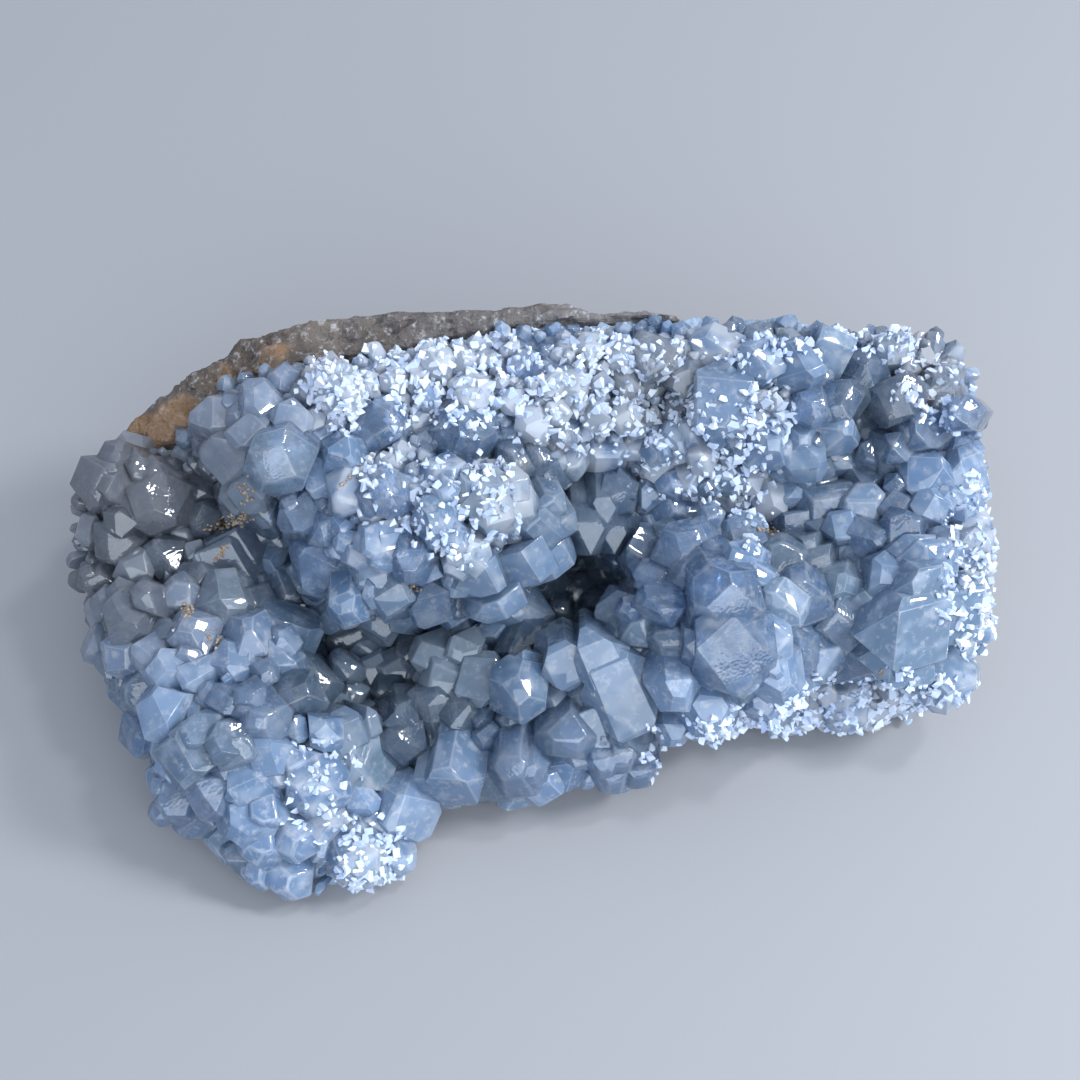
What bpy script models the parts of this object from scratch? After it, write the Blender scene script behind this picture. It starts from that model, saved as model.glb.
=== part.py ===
"""Celestite cluster: a broken chunk of geode wall, a rock rind with one mass of grown crystals.

Runs in Blender 4.5, with blender --background --python part.py. The model is in metres, +Z up,
and rests on its flat underside at z = 0. Its long side lies along X, and its crystals face -Y
and up. Sizes below are millimetres, and MM turns them into metres where a mesh is finished.

Places on the crystals are given on the sight plane, a plane that slopes up and away from the
viewer: u runs to the right, v up the slope and w out of it, towards the viewer.
"""

import math
import random

import bmesh
import bpy
from mathutils import Matrix, Vector, noise
from mathutils.bvhtree import BVHTree

MM = 0.001

# Sight plane and viewpoint; the shift puts the middle of the finished chunk over the origin
MIDDLE_SHIFT = Vector((0.5, -2.2, 0.0))
SIGHT_SLOPE = math.radians(34)
SIGHT_ORIGIN = Vector((0.0, 0.0, 20.0)) + MIDDLE_SHIFT
EYE = (1.3, 8.45, 195.0)

# Fits and finish of the solids
GAP = 0.3
MASS_VOXEL = 1.6
MASS_SMOOTHING = 6
MASS_KEPT_SHARE = 0.078
ROCK_ROUGHNESS = 1.3
ROCK_GRAIN = 9.0
ROCK_OCTAVES = 3
CUT_TOLERANCE = 0.0001
TABLE_SIZE = (200.0, 160.0, 40.0)

# Corners of the broken chunk before lobes and hollows, as x, y, z
CHUNK_CORNERS = (
    # resting face
    (-40, -5, -2), (-42, 12, -2), (-30, 22, -2), (0, 24, -2), (30, 22, -2),
    (42, 12, -2), (41, -2, -2), (22, -7, -2), (0, -8, -2), (-22, -8, -2),
    # lower flanks
    (-52, -1, 6), (-54, 14, 7), (-38, 29, 6), (0, 32, 7), (36, 29, 6), (53, 14, 7), (52, 0, 6),
    # bulge of the rind, all round
    (-60, 10, 14), (-57, 23, 15), (-37, 36, 17), (0, 38.5, 19), (34, 37.5, 18), (54, 27, 15), (60, 10, 14),
    # broken upper edge
    (-60, 16, 20), (-58.5, 25, 22.5), (-50, 30, 30), (-42, 32, 35), (-33, 33.8, 38.4), (-24, 35.2, 40.5),
    (0, 35, 40), (22, 35, 40), (37, 34.5, 38.5), (48.5, 33, 35), (55, 31, 31), (57.5, 24, 25.5), (60, 16, 20),
)

# Lobes on the crystal face, each an ellipsoid: centre u, v, w, radii, turn in the sight plane
LOBES = (
    ((-30, 22, -4), (11, 10, 9), 0),  # frosted boss, upper left
    ((-53, 11, -11), (8, 9, 9), 0),  # shelf at the left end
    ((-52, 3, -11), (8, 8, 8), 0),  # its lower side
    ((-14, 11, -3), (15, 11, 11), 10),  # white lobe over the valley
    ((2, 27, -8), (36, 11, 8), 0),  # sugary band under the upper edge
    ((30, 26, -7), (17, 12, 8), 0),  # upper right field
    ((51, 23, -9), (9, 12, 8), 0),  # right shoulder
    ((49, 2, -7), (12, 13, 9), 0),  # right end
    ((24, -3, -3), (13, 11, 11), 0),  # milky lobe, right of the pocket
    ((2, -15, -5), (15, 9, 7), 0),  # crystals at the front rim
    ((-45, -5, -7), (11, 10, 9), 0),  # big left lobe, where it joins the chunk
    ((-36, -17, -3), (15, 12, 12), -49),  # big left lobe, its crown
    ((-27, -28, -3), (12, 9, 8), -49),  # big left lobe, down to the table
    ((-17, -16, -8), (7, 6, 7), 0),  # floor of the valley, down to the table
    ((36, -8.5, -12), (20, 8.5, 7), 0),  # druse along the lower right rim
)

# Hollows between the lobes
HOLLOWS = (
    ((7, 3, -8), (8.5, 8, 9), 0),  # dark pocket in the middle
    ((-20, -8, 0), (12, 9, 9), 20),  # valley left of the middle
    ((17.5, 27.5, -1), (5.5, 4, 5), 0),  # small hole in the sugary band
    ((44, 22, -2), (4.5, 6, 7), 10),  # dark recess at the right
    ((-15.5, -25, -5), (2.5, 6, 9), 0),  # notch beside the big lobe
)

# Surface where the crystal bed meets the rind, an ellipsoid on the sight plane
PARTING_CENTRE = (10, -8, 8)
PARTING_RADII = (130, 49, 31)
PARTING_TURN = 7

# Crystals placed one by one:
# u, v, width, thickness, reach, lean along u, lean along v, turn about its own axis, tip sharpness
LEFT_END = (
    (-47.8, 13.7, 9.5, 8.0, 6.0, -0.2, 0.0, 20, 0.5),
    (-54.6, 15.6, 8.5, 5.5, 4.0, -0.7, 0.3, 60, 0.3),
    (-53.3, 8.5, 6.5, 5.0, 3.5, -0.5, -0.2, 0, 0.4),
    (-47.7, 6.4, 7.5, 5.0, 3.0, -0.1, -0.4, 35, 0.3),
    (-55.5, 3.6, 6.5, 5.5, 3.5, -0.8, -0.3, 80, 0.7),
    (-38.7, 5.2, 12.0, 8.0, 4.0, 0.1, -0.3, 25, 0.2),
    (-40.7, 17.7, 5.5, 4.0, 4.0, -0.4, 0.0, 70, 0.8),
    (-42.0, 12.0, 6.0, 4.5, 4.5, -0.3, -0.4, 10, 0.6),
    (-51.0, 19.5, 5.5, 4.0, 3.5, -0.4, 0.5, 40, 0.5),
)
BOSS = (
    (-32.0, 19.5, 10.0, 8.5, 6.5, 0.0, -0.3, 15, 0.4),
    (-25.0, 27.0, 8.5, 7.0, 4.5, 0.1, 0.2, 50, 0.5),
    (-34.5, 26.0, 7.0, 6.0, 4.0, -0.4, 0.2, 0, 0.6),
    (-24.5, 20.0, 7.0, 5.0, 5.5, 0.4, -0.3, 30, 0.7),
    (-29.5, 13.0, 6.5, 5.0, 5.5, 0.0, -0.8, 75, 0.8),
    (-36.5, 13.8, 6.0, 5.0, 5.0, -0.6, -0.5, 20, 0.6),
)
WHITE_LOBE = (
    (-5.6, 13.4, 9.0, 7.5, 6.0, 0.4, 0.0, 10, 0.3),
    (-8.5, 7.5, 6.5, 5.5, 5.0, 0.3, -0.7, 45, 0.5),
    (-15.0, 7.0, 6.0, 5.0, 5.5, 0.0, -0.7, 0, 0.6),
    (-23.4, 3.0, 6.5, 5.5, 7.0, 0.1, -0.9, 20, 0.5),
    (-19.0, 8.5, 7.0, 5.5, 5.0, -0.3, -0.4, 60, 0.7),
    (-18.0, 14.5, 7.5, 6.0, 4.5, -0.3, 0.0, 30, 0.6),
    (-11.0, 16.5, 7.0, 5.5, 4.0, 0.0, 0.1, 85, 0.5),
    (-12.0, 11.5, 7.5, 6.0, 5.0, 0.0, -0.2, 15, 0.6),
    (-2.5, 18.5, 6.0, 5.0, 3.5, 0.4, 0.2, 35, 0.6),
)
POCKET = (
    (0.0, 12.5, 8.0, 5.0, 7.0, 0.3, -0.6, 40, 0.4),
    (7.3, 15.0, 8.5, 6.0, 12.0, 0.0, -1.1, 0, 1.0),
    (-2.0, 6.5, 11.5, 4.5, 6.5, 0.6, -0.1, 32, 0.4),
    (-6.8, 2.3, 5.0, 4.0, 4.5, 0.2, -0.2, 10, 0.7),
    (-11.6, -1.2, 8.5, 6.0, 4.5, 0.0, 0.3, 20, 0.2),
    (-3.0, -1.2, 10.5, 7.5, 7.0, 0.4, 0.0, 55, 0.5),
    (10.8, 15.6, 7.0, 6.0, 6.0, 0.1, -0.5, 15, 0.4),
    (13.9, 7.5, 6.5, 5.0, 5.0, -0.4, -0.1, 30, 0.8),
    (10.2, -0.6, 6.0, 4.5, 5.5, -0.3, 0.2, 80, 0.5),
    (3.9, -7.0, 7.5, 6.0, 5.5, 0.0, 0.5, 25, 0.7),
)
UPPER_RIGHT = (
    (18.8, 12.6, 8.0, 6.0, 5.0, 0.0, -0.4, 65, 0.6),
    (18.8, 21.5, 6.0, 5.0, 4.0, 0.1, -0.3, 10, 0.7),
    (24.7, 26.0, 13.0, 7.5, 4.5, 0.0, 0.1, 85, 0.2),
    (29.5, 31.0, 8.0, 6.0, 4.0, 0.2, 0.3, 30, 0.4),
    (38.5, 32.5, 9.5, 5.0, 4.5, 0.2, 0.4, 70, 0.4),
    (46.0, 32.0, 7.0, 5.0, 4.5, 0.4, 0.5, 45, 0.5),
    (31.0, 21.0, 7.5, 6.0, 4.5, 0.1, -0.1, 0, 0.7),
    (36.0, 25.5, 6.5, 5.0, 4.0, 0.3, 0.0, 20, 0.6),
    (12.0, 32.0, 6.0, 5.0, 3.5, 0.0, 0.5, 50, 0.6),
    (25.0, 17.0, 5.5, 4.5, 4.0, 0.3, -0.3, 35, 0.8),
)
RIGHT_END = (
    (51.0, 22.5, 9.5, 4.5, 5.5, -0.5, 0.0, 5, 0.9),
    (52.5, 27.5, 6.5, 5.0, 4.0, 0.6, 0.4, 40, 0.6),
    (54.6, 16.5, 8.5, 7.0, 5.0, 0.6, 0.1, 20, 0.4),
    (51.0, 12.5, 7.0, 5.5, 4.5, 0.2, -0.1, 60, 0.5),
    (38.4, 12.0, 13.0, 8.5, 5.0, 0.0, -0.3, 8, 0.2),
    (37.0, 5.8, 13.0, 5.0, 5.0, 0.1, -0.2, 12, 0.7),
    (50.7, 5.5, 9.0, 5.0, 4.5, 0.4, 0.1, 0, 0.4),
    (48.5, -2.0, 14.0, 10.0, 5.5, 0.3, -0.4, 5, 0.2),
    (39.7, -1.3, 10.0, 6.5, 5.5, 0.1, -0.5, 50, 0.4),
    (56.5, 7.5, 7.0, 5.5, 4.0, 0.9, 0.0, 30, 0.6),
    (55.0, 0.5, 6.5, 5.0, 4.0, 0.9, -0.4, 10, 0.6),
    (43.5, 17.0, 6.5, 5.0, 4.0, -0.2, -0.4, 75, 0.7),
)
MILKY_LOBE = (
    (20.0, 6.8, 8.5, 6.5, 5.0, 0.0, 0.3, 15, 0.6),
    (25.5, -4.5, 12.5, 11.0, 6.0, 0.1, -0.3, 40, 0.3),
    (28.0, 2.5, 8.0, 6.5, 4.5, 0.4, 0.2, 70, 0.5),
    (22.5, -11.5, 9.0, 7.0, 6.0, 0.0, -0.9, 0, 0.6),
    (31.0, -8.0, 8.5, 6.5, 5.5, 0.5, -0.7, 30, 0.6),
    (17.5, 0.0, 7.0, 5.5, 5.0, -0.4, 0.0, 60, 0.6),
)
FRONT_RIM = (
    (11.5, -9.6, 12.5, 10.5, 7.5, 0.0, -0.2, 25, 0.15),
    (12.0, -15.5, 8.0, 6.0, 5.5, 0.2, -0.8, 50, 0.5),
    (-1.2, -10.5, 9.0, 7.5, 6.0, -0.1, 0.0, 35, 0.6),
    (4.5, -15.5, 8.5, 7.0, 5.5, 0.0, -0.6, 80, 0.6),
    (-1.5, -19.0, 8.5, 7.5, 6.0, -0.1, -1.0, 15, 0.4),
    (10.2, -20.0, 7.5, 6.5, 4.5, 0.2, -1.2, 0, 0.5),
    (-9.2, -17.5, 9.0, 7.0, 8.0, -0.2, -1.2, 20, 0.15),
    (14.5, -19.0, 5.5, 4.5, 4.0, 0.5, -1.1, 45, 0.6),
)
VALLEY = (
    (-19.5, -1.8, 8.0, 5.5, 4.5, 0.0, -0.2, 60, 0.4),
    (-17.5, -9.0, 10.0, 7.0, 5.0, 0.2, 0.0, 25, 0.4),
    (-10.0, -10.0, 9.5, 7.0, 5.5, -0.1, 0.0, 70, 0.3),
    (-24.5, -8.5, 7.5, 5.5, 4.5, 0.4, 0.3, 10, 0.6),
    (-17.0, -16.5, 8.0, 6.0, 5.0, 0.2, -0.5, 45, 0.5),
)
LEFT_LOBE = (
    (-50.5, -2.1, 8.5, 7.0, 5.5, -0.6, 0.3, 30, 0.4),
    (-43.0, -4.0, 7.5, 6.0, 4.5, -0.1, 0.5, 75, 0.6),
    (-36.5, -5.0, 8.5, 6.5, 5.5, 0.1, 0.6, 10, 0.7),
    (-29.5, -10.0, 9.5, 7.5, 6.0, 0.5, 0.3, 50, 0.4),
    (-42.5, -18.5, 11.0, 5.5, 5.0, -0.4, -0.2, 40, 0.5),
    (-26.0, -16.5, 7.5, 6.0, 5.5, 0.7, 0.0, 20, 0.3),
    (-34.5, -14.5, 8.0, 6.5, 4.5, 0.0, 0.1, 85, 0.6),
    (-28.0, -22.5, 9.5, 8.0, 5.0, 0.3, -0.2, 35, 0.4),
    (-22.5, -31.5, 8.5, 6.5, 5.5, 0.5, -0.8, 15, 0.5),
    (-18.2, -25.5, 10.0, 7.0, 6.0, 0.9, -0.3, 60, 0.2),
    (-49.0, -11.0, 7.5, 6.0, 4.5, -0.9, -0.1, 5, 0.6),
    (-36.0, -27.0, 8.5, 7.0, 5.0, -0.3, -0.5, 65, 0.6),
    (-31.0, -34.0, 7.5, 6.0, 4.5, -0.1, -1.0, 30, 0.6),
    (-44.5, -24.5, 7.0, 5.5, 4.5, -0.8, -0.5, 50, 0.6),
)
PLACED_CRYSTALS = (
    LEFT_END + BOSS + WHITE_LOBE + POCKET + UPPER_RIGHT + RIGHT_END
    + MILKY_LOBE + FRONT_RIM + VALLEY + LEFT_LOBE
)

# Smaller crystals over the rest of the bed, as far apart as their spacing
FILL_SEED = 11
FILL_TRIES = 1500
FILL_SPACING = 9.8
FILL_CLEARANCE = 0.45
FILL_WIDTH = (4.5, 7.0)
FILL_REACH = (2.0, 3.5)
FILL_LEAN = 0.35
FILL_FLATNESS = 0.85
FILL_SHARPNESS = 0.7
FILL_HEIGHTS = (3.0, 36.5)

# How every crystal is cut: each face's angle, in degrees, from its wide side or from its axis
PRISM_ANGLE = 38
CHISEL_ANGLE = 50
SIDE_DOME_ANGLE = 42
ANGLE_PLAY = 6
# Shares of a crystal's width: its root, its side edges, the rise of a blunt tip's ridge, and
# how far the ridge strays
ROOT_SHARE = 0.55
SIDE_EDGE_SHARE = (0.46, 0.52)
RIDGE_RISE = 0.32
RIDGE_PLAY = 0.06
FACE_SKEW = 0.1
TOP_SKEW = 0.08


def sight_vector(u, v, w):
    return Matrix.Rotation(SIGHT_SLOPE, 3, "X") @ Vector((u, v, w))


def sight_point(u, v, w):
    return SIGHT_ORIGIN + sight_vector(u, v, w)


def clear_scene():
    for old in list(bpy.data.objects):
        bpy.data.objects.remove(old, do_unlink=True)


def finished_object(name, bm):
    """A new object from a mesh in millimetres, its faces turned outwards."""
    bmesh.ops.recalc_face_normals(bm, faces=bm.faces)
    bmesh.ops.scale(bm, vec=(MM, MM, MM), verts=bm.verts)
    mesh = bpy.data.meshes.new(name)
    bm.to_mesh(mesh)
    bm.free()
    made = bpy.data.objects.new(name, mesh)
    bpy.context.scene.collection.objects.link(made)
    return made


def helper(obj):
    """Keeps a cutter or a guide out of the model."""
    obj.hide_render = True
    obj.display_type = "WIRE"
    return obj


def evaluated_bmesh(obj):
    graph = bpy.context.evaluated_depsgraph_get()
    bm = bmesh.new()
    bm.from_object(obj, graph)
    bmesh.ops.scale(bm, vec=(1 / MM, 1 / MM, 1 / MM), verts=bm.verts)
    return bm


def add_boolean(obj, other, operation, use_self=False):
    modifier = obj.modifiers.new(f"{operation.lower()} {other.name}", "BOOLEAN")
    modifier.object = other
    modifier.operation = operation
    modifier.solver = "EXACT"
    modifier.use_self = use_self


def add_remesh(obj):
    modifier = obj.modifiers.new("one skin", "REMESH")
    modifier.mode = "VOXEL"
    modifier.voxel_size = MASS_VOXEL * MM


def ellipsoids(name, rows, subdivisions=3):
    """One object that holds an ellipsoid for each row of centre, radii and turn."""
    bm = bmesh.new()
    for centre, radii, turn in rows:
        place = (
            Matrix.Translation(sight_point(*centre))
            @ Matrix.Rotation(SIGHT_SLOPE, 4, "X")
            @ Matrix.Rotation(math.radians(turn), 4, "Z")
            @ Matrix.Diagonal((*radii, 1.0))
        )
        bmesh.ops.create_icosphere(bm, subdivisions=subdivisions, radius=1.0, matrix=place)
    return helper(finished_object(name, bm))


def broken_chunk():
    bm = bmesh.new()
    for corner in CHUNK_CORNERS:
        bm.verts.new(Vector(corner) + MIDDLE_SHIFT)
    bmesh.ops.convex_hull(bm, input=bm.verts)
    return helper(finished_object("broken_chunk", bm))


def roughen(bm):
    """Moves each point of the mass in or out a little, as rock breaks."""
    bm.normal_update()
    for vert in bm.verts:
        swell = noise.fractal(vert.co / ROCK_GRAIN, 1.0, 2.0, ROCK_OCTAVES)
        vert.co += vert.normal * swell * ROCK_ROUGHNESS


def grown_mass():
    """The whole chunk with its lobes and hollows in one smooth skin, before it is parted."""
    lobes = ellipsoids("lobes", LOBES)
    hollows = ellipsoids("hollows", HOLLOWS)
    chunk = broken_chunk()
    add_boolean(chunk, lobes, "UNION", use_self=True)
    add_remesh(chunk)
    add_boolean(chunk, hollows, "DIFFERENCE", use_self=True)
    add_remesh(chunk)
    smooth = chunk.modifiers.new("worn edges", "SMOOTH")
    smooth.iterations = MASS_SMOOTHING
    skin = evaluated_bmesh(chunk)
    roughen(skin)
    rough = helper(finished_object("rough_chunk", skin))
    fewer = rough.modifiers.new("fewer faces", "DECIMATE")
    fewer.ratio = MASS_KEPT_SHARE
    bm = evaluated_bmesh(rough)
    for source in (chunk, lobes, hollows, rough):
        bpy.data.objects.remove(source, do_unlink=True)
    bmesh.ops.triangulate(bm, faces=bm.faces)
    return bm


def swollen(bm, distance):
    """A copy of a closed mesh with its skin moved out by a distance."""
    copy = bm.copy()
    copy.normal_update()
    steps = [vert.normal * distance for vert in copy.verts]
    for vert, step in zip(copy.verts, steps):
        vert.co += step
    return copy


def parting_bowl(name, grown):
    """The bowl that the crystals fill, grown by a distance all round."""
    radii = [radius + grown for radius in PARTING_RADII]
    return ellipsoids(name, ((PARTING_CENTRE, radii, PARTING_TURN),), subdivisions=4)


def slice_off(bm, point, normal):
    """Cuts away what lies past a plane and closes the cut with one flat face."""
    cut = bmesh.ops.bisect_plane(
        bm,
        geom=bm.verts[:] + bm.edges[:] + bm.faces[:],
        dist=CUT_TOLERANCE,
        plane_co=point,
        plane_no=normal,
        clear_outer=True,
    )
    rim = [item for item in cut["geom_cut"] if isinstance(item, bmesh.types.BMEdge)]
    if rim:
        bmesh.ops.contextual_create(bm, geom=rim)


def crystal(width, thickness, reach, sharpness, rng):
    """A blocky celestite crystal along +Z, from its root below zero to its tip at reach."""
    root = ROOT_SHARE * width
    bm = bmesh.new()
    block = Matrix.Translation((0, 0, (reach - root) / 2)) @ Matrix.Diagonal(
        (width, thickness, reach + root, 1.0)
    )
    bmesh.ops.create_cube(bm, size=1.0, matrix=block)

    def angle(middle):
        return math.radians(middle + rng.uniform(-ANGLE_PLAY, ANGLE_PLAY))

    def skew(most):
        return rng.uniform(-most, most)

    for side_x in (-1, 1):
        for side_y in (-1, 1):
            prism = angle(PRISM_ANGLE)
            edge = Vector((side_x * width * rng.uniform(*SIDE_EDGE_SHARE), 0, 0))
            slice_off(bm, edge, (side_x * math.cos(prism), side_y * math.sin(prism), 0))
    peak = reach + (1 - sharpness) * RIDGE_RISE * width
    for side in (-1, 1):
        chisel = angle(CHISEL_ANGLE)
        ridge = Vector((skew(RIDGE_PLAY) * width, 0, peak))
        slice_off(bm, ridge, (side * math.sin(chisel), skew(FACE_SKEW), math.cos(chisel)))
        dome = angle(SIDE_DOME_ANGLE)
        slice_off(bm, ridge, (skew(FACE_SKEW), side * math.sin(dome), math.cos(dome)))
    slice_off(bm, Vector((0, 0, reach)), (skew(TOP_SKEW), skew(TOP_SKEW), 1))
    return bm


def standing(point, direction, turn):
    """The matrix that stands a crystal at a point, along a direction, turned about it."""
    along = direction.normalized()
    side = (Vector((1, 0, 0)) - along * along.x).normalized()
    axes = Matrix((side, along.cross(side), along)).transposed().to_4x4()
    return Matrix.Translation(point) @ axes @ Matrix.Rotation(math.radians(turn), 4, "Z")


def seen_point(tree, u, v):
    """Where the sight line through a place on the sight plane meets the mass, or None."""
    eye = sight_point(*EYE)
    sight_line = (sight_point(u, v, 0) - eye).normalized()
    return tree.ray_cast(eye, sight_line)[0]


def inside_bowl(point):
    local = Matrix.Rotation(-SIGHT_SLOPE, 3, "X") @ (point - SIGHT_ORIGIN) - Vector(PARTING_CENTRE)
    local.rotate(Matrix.Rotation(math.radians(-PARTING_TURN), 3, "Z"))
    return sum((at / radius) ** 2 for at, radius in zip(local, PARTING_RADII)) < 1


def point_on_face(face, rng):
    """A random point on a triangle."""
    corner, second, third = (vert.co for vert in face.verts)
    along = math.sqrt(rng.random())
    across = rng.random()
    return corner * (1 - along) + (second * (1 - across) + third * across) * along


def fill_crystals(mass, standing_points, rng):
    """Small crystals wherever the bed is still bare, as a point, direction and sizes each."""
    taken = [(point, FILL_CLEARANCE * width) for point, width in standing_points]
    faces = list(mass.faces)
    areas = [face.calc_area() for face in faces]
    rows = []
    for face in rng.choices(faces, areas, k=FILL_TRIES):
        point = point_on_face(face, rng)
        width = rng.uniform(*FILL_WIDTH)
        reach = rng.uniform(*FILL_REACH)
        turn = rng.uniform(0, 180)
        lean = Vector([rng.uniform(-FILL_LEAN, FILL_LEAN) for _ in range(3)])
        if not FILL_HEIGHTS[0] < point.z < FILL_HEIGHTS[1] or not inside_bowl(point):
            continue
        if any((point - other).length < FILL_SPACING / 2 + room for other, room in taken):
            continue
        taken.append((point, FILL_SPACING / 2))
        thickness = FILL_FLATNESS * width
        rows.append((point, face.normal + lean, width, thickness, reach, turn, FILL_SHARPNESS))
    return rows


def all_crystals(mass):
    """Every crystal as a closed solid of its own, rooted in the mass."""
    rng = random.Random(FILL_SEED)
    tree = BVHTree.FromBMesh(mass)
    rows = []
    for u, v, width, thickness, reach, lean_u, lean_v, turn, sharpness in PLACED_CRYSTALS:
        point = seen_point(tree, u, v)
        if point is not None:
            along = sight_vector(lean_u, lean_v, 1)
            rows.append((point, along, width, thickness, reach, turn, sharpness))
    rows += fill_crystals(mass, [(row[0], row[2]) for row in rows], rng)
    everything = bmesh.new()
    for point, along, width, thickness, reach, turn, sharpness in rows:
        bm = crystal(width, thickness, reach, sharpness, rng)
        bm.transform(standing(point, along, turn))
        piece = bpy.data.meshes.new("piece")
        bm.to_mesh(piece)
        bm.free()
        everything.from_mesh(piece)
        bpy.data.meshes.remove(piece)
    return helper(finished_object("all_crystals", everything))


def table_block():
    """What lies under the flat resting face."""
    bm = bmesh.new()
    place = Matrix.Translation((0, 0, -TABLE_SIZE[2] / 2)) @ Matrix.Diagonal((*TABLE_SIZE, 1))
    bmesh.ops.create_cube(bm, size=1.0, matrix=place)
    return helper(finished_object("below_resting_face", bm))


def principled(name, colour, roughness, alpha=1.0):
    material = bpy.data.materials.new(name)
    material.use_nodes = True
    shader = material.node_tree.nodes["Principled BSDF"]
    shader.inputs["Base Color"].default_value = (*colour, 1.0)
    shader.inputs["Roughness"].default_value = roughness
    shader.inputs["Metallic"].default_value = 0.0
    shader.inputs["Alpha"].default_value = alpha
    material.diffuse_color = (*colour, 1.0)
    return material


def rock_rind(mass, table):
    rind = finished_object("rock_rind", mass.copy())
    add_boolean(rind, parting_bowl("bowl_and_gap", GAP), "DIFFERENCE")
    add_boolean(rind, table, "DIFFERENCE")
    rind.data.materials.append(principled("grey_brown_rock", (0.30, 0.27, 0.24), 0.85))
    return rind


def celestite_crystals(mass, table):
    crystals = all_crystals(mass)
    rind_space = helper(finished_object("rind_space", swollen(mass, GAP)))
    add_boolean(rind_space, parting_bowl("bowl", 0.0), "DIFFERENCE")
    grown = finished_object("celestite_crystals", mass.copy())
    add_boolean(grown, crystals, "UNION", use_self=True)
    add_boolean(grown, rind_space, "DIFFERENCE")
    add_boolean(grown, table, "DIFFERENCE")
    grown.data.materials.append(principled("pale_blue_celestite", (0.42, 0.55, 0.68), 0.12))
    return grown


def main():
    clear_scene()
    mass = grown_mass()
    table = table_block()
    rock_rind(mass, table)
    celestite_crystals(mass, table)
    mass.free()


main()
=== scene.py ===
"""Celestite cluster, as it looks: a rock rind, a milky bed, clear and cloudy crystals, fine druse.

Runs in Blender 4.5 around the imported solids. Lengths in the tables are millimetres, and MM turns
them into metres where a mesh is finished. Places on the crystals are given on the sight plane:
u runs to the right, v up the slope and w out of it, towards the viewer.
"""

import math
import random
from collections import namedtuple
from itertools import product

import bmesh
import bpy
import numpy as np
from mathutils import Matrix, Vector, noise
from mathutils.bvhtree import BVHTree


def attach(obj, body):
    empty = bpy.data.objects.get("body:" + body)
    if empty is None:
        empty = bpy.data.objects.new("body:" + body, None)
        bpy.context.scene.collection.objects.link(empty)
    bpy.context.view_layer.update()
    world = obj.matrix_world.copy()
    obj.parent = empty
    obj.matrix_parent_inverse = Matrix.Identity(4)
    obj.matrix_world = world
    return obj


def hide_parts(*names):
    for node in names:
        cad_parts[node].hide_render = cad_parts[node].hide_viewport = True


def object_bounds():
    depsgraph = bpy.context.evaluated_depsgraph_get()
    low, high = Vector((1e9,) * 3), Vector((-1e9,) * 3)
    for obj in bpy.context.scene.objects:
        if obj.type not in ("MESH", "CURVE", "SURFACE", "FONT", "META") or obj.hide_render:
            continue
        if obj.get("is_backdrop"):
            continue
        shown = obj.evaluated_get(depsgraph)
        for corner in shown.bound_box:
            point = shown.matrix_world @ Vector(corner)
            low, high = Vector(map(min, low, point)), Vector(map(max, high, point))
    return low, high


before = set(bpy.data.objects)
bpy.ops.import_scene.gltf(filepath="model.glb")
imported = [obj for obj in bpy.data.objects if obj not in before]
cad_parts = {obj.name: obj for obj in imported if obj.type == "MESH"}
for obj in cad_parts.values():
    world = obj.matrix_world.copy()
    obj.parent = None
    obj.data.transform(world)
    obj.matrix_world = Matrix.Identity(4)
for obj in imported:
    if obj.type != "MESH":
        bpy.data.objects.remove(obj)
solid_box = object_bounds()

MM = 0.001
BODY = "root"
ROCK_SLOT = "grey_brown_rock"
CELESTITE_SLOT = "pale_blue_celestite"

# Sight plane, viewpoint and lens
MIDDLE_SHIFT = Vector((0.5, -2.2, 0.0))
SIGHT_SLOPE = math.radians(34)
SIGHT_ORIGIN = Vector((0.0, 0.0, 20.0)) + MIDDLE_SHIFT
EYE = (1.3, 8.45, 195.0)
LENS = 50.0
FILM_WIDTH = 36.0

# The grown mass, as the solids have it
GAP = 0.3
MASS_VOXEL = 1.6
MASS_SMOOTHING = 6
MASS_KEPT_SHARE = 0.078
ROCK_ROUGHNESS = 1.3
ROCK_GRAIN = 9.0
ROCK_OCTAVES = 3
CUT_TOLERANCE = 0.0001

CHUNK_CORNERS = (
    # resting face
    (-40, -5, -2), (-42, 12, -2), (-30, 22, -2), (0, 24, -2), (30, 22, -2),
    (42, 12, -2), (41, -2, -2), (22, -7, -2), (0, -8, -2), (-22, -8, -2),
    # lower flanks
    (-52, -1, 6), (-54, 14, 7), (-38, 29, 6), (0, 32, 7), (36, 29, 6), (53, 14, 7), (52, 0, 6),
    # bulge of the rind, all round
    (-60, 10, 14), (-57, 23, 15), (-37, 36, 17), (0, 38.5, 19), (34, 37.5, 18), (54, 27, 15), (60, 10, 14),
    # broken upper edge
    (-60, 16, 20), (-58.5, 25, 22.5), (-50, 30, 30), (-42, 32, 35), (-33, 33.8, 38.4), (-24, 35.2, 40.5),
    (0, 35, 40), (22, 35, 40), (37, 34.5, 38.5), (48.5, 33, 35), (55, 31, 31), (57.5, 24, 25.5), (60, 16, 20),
)

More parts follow.
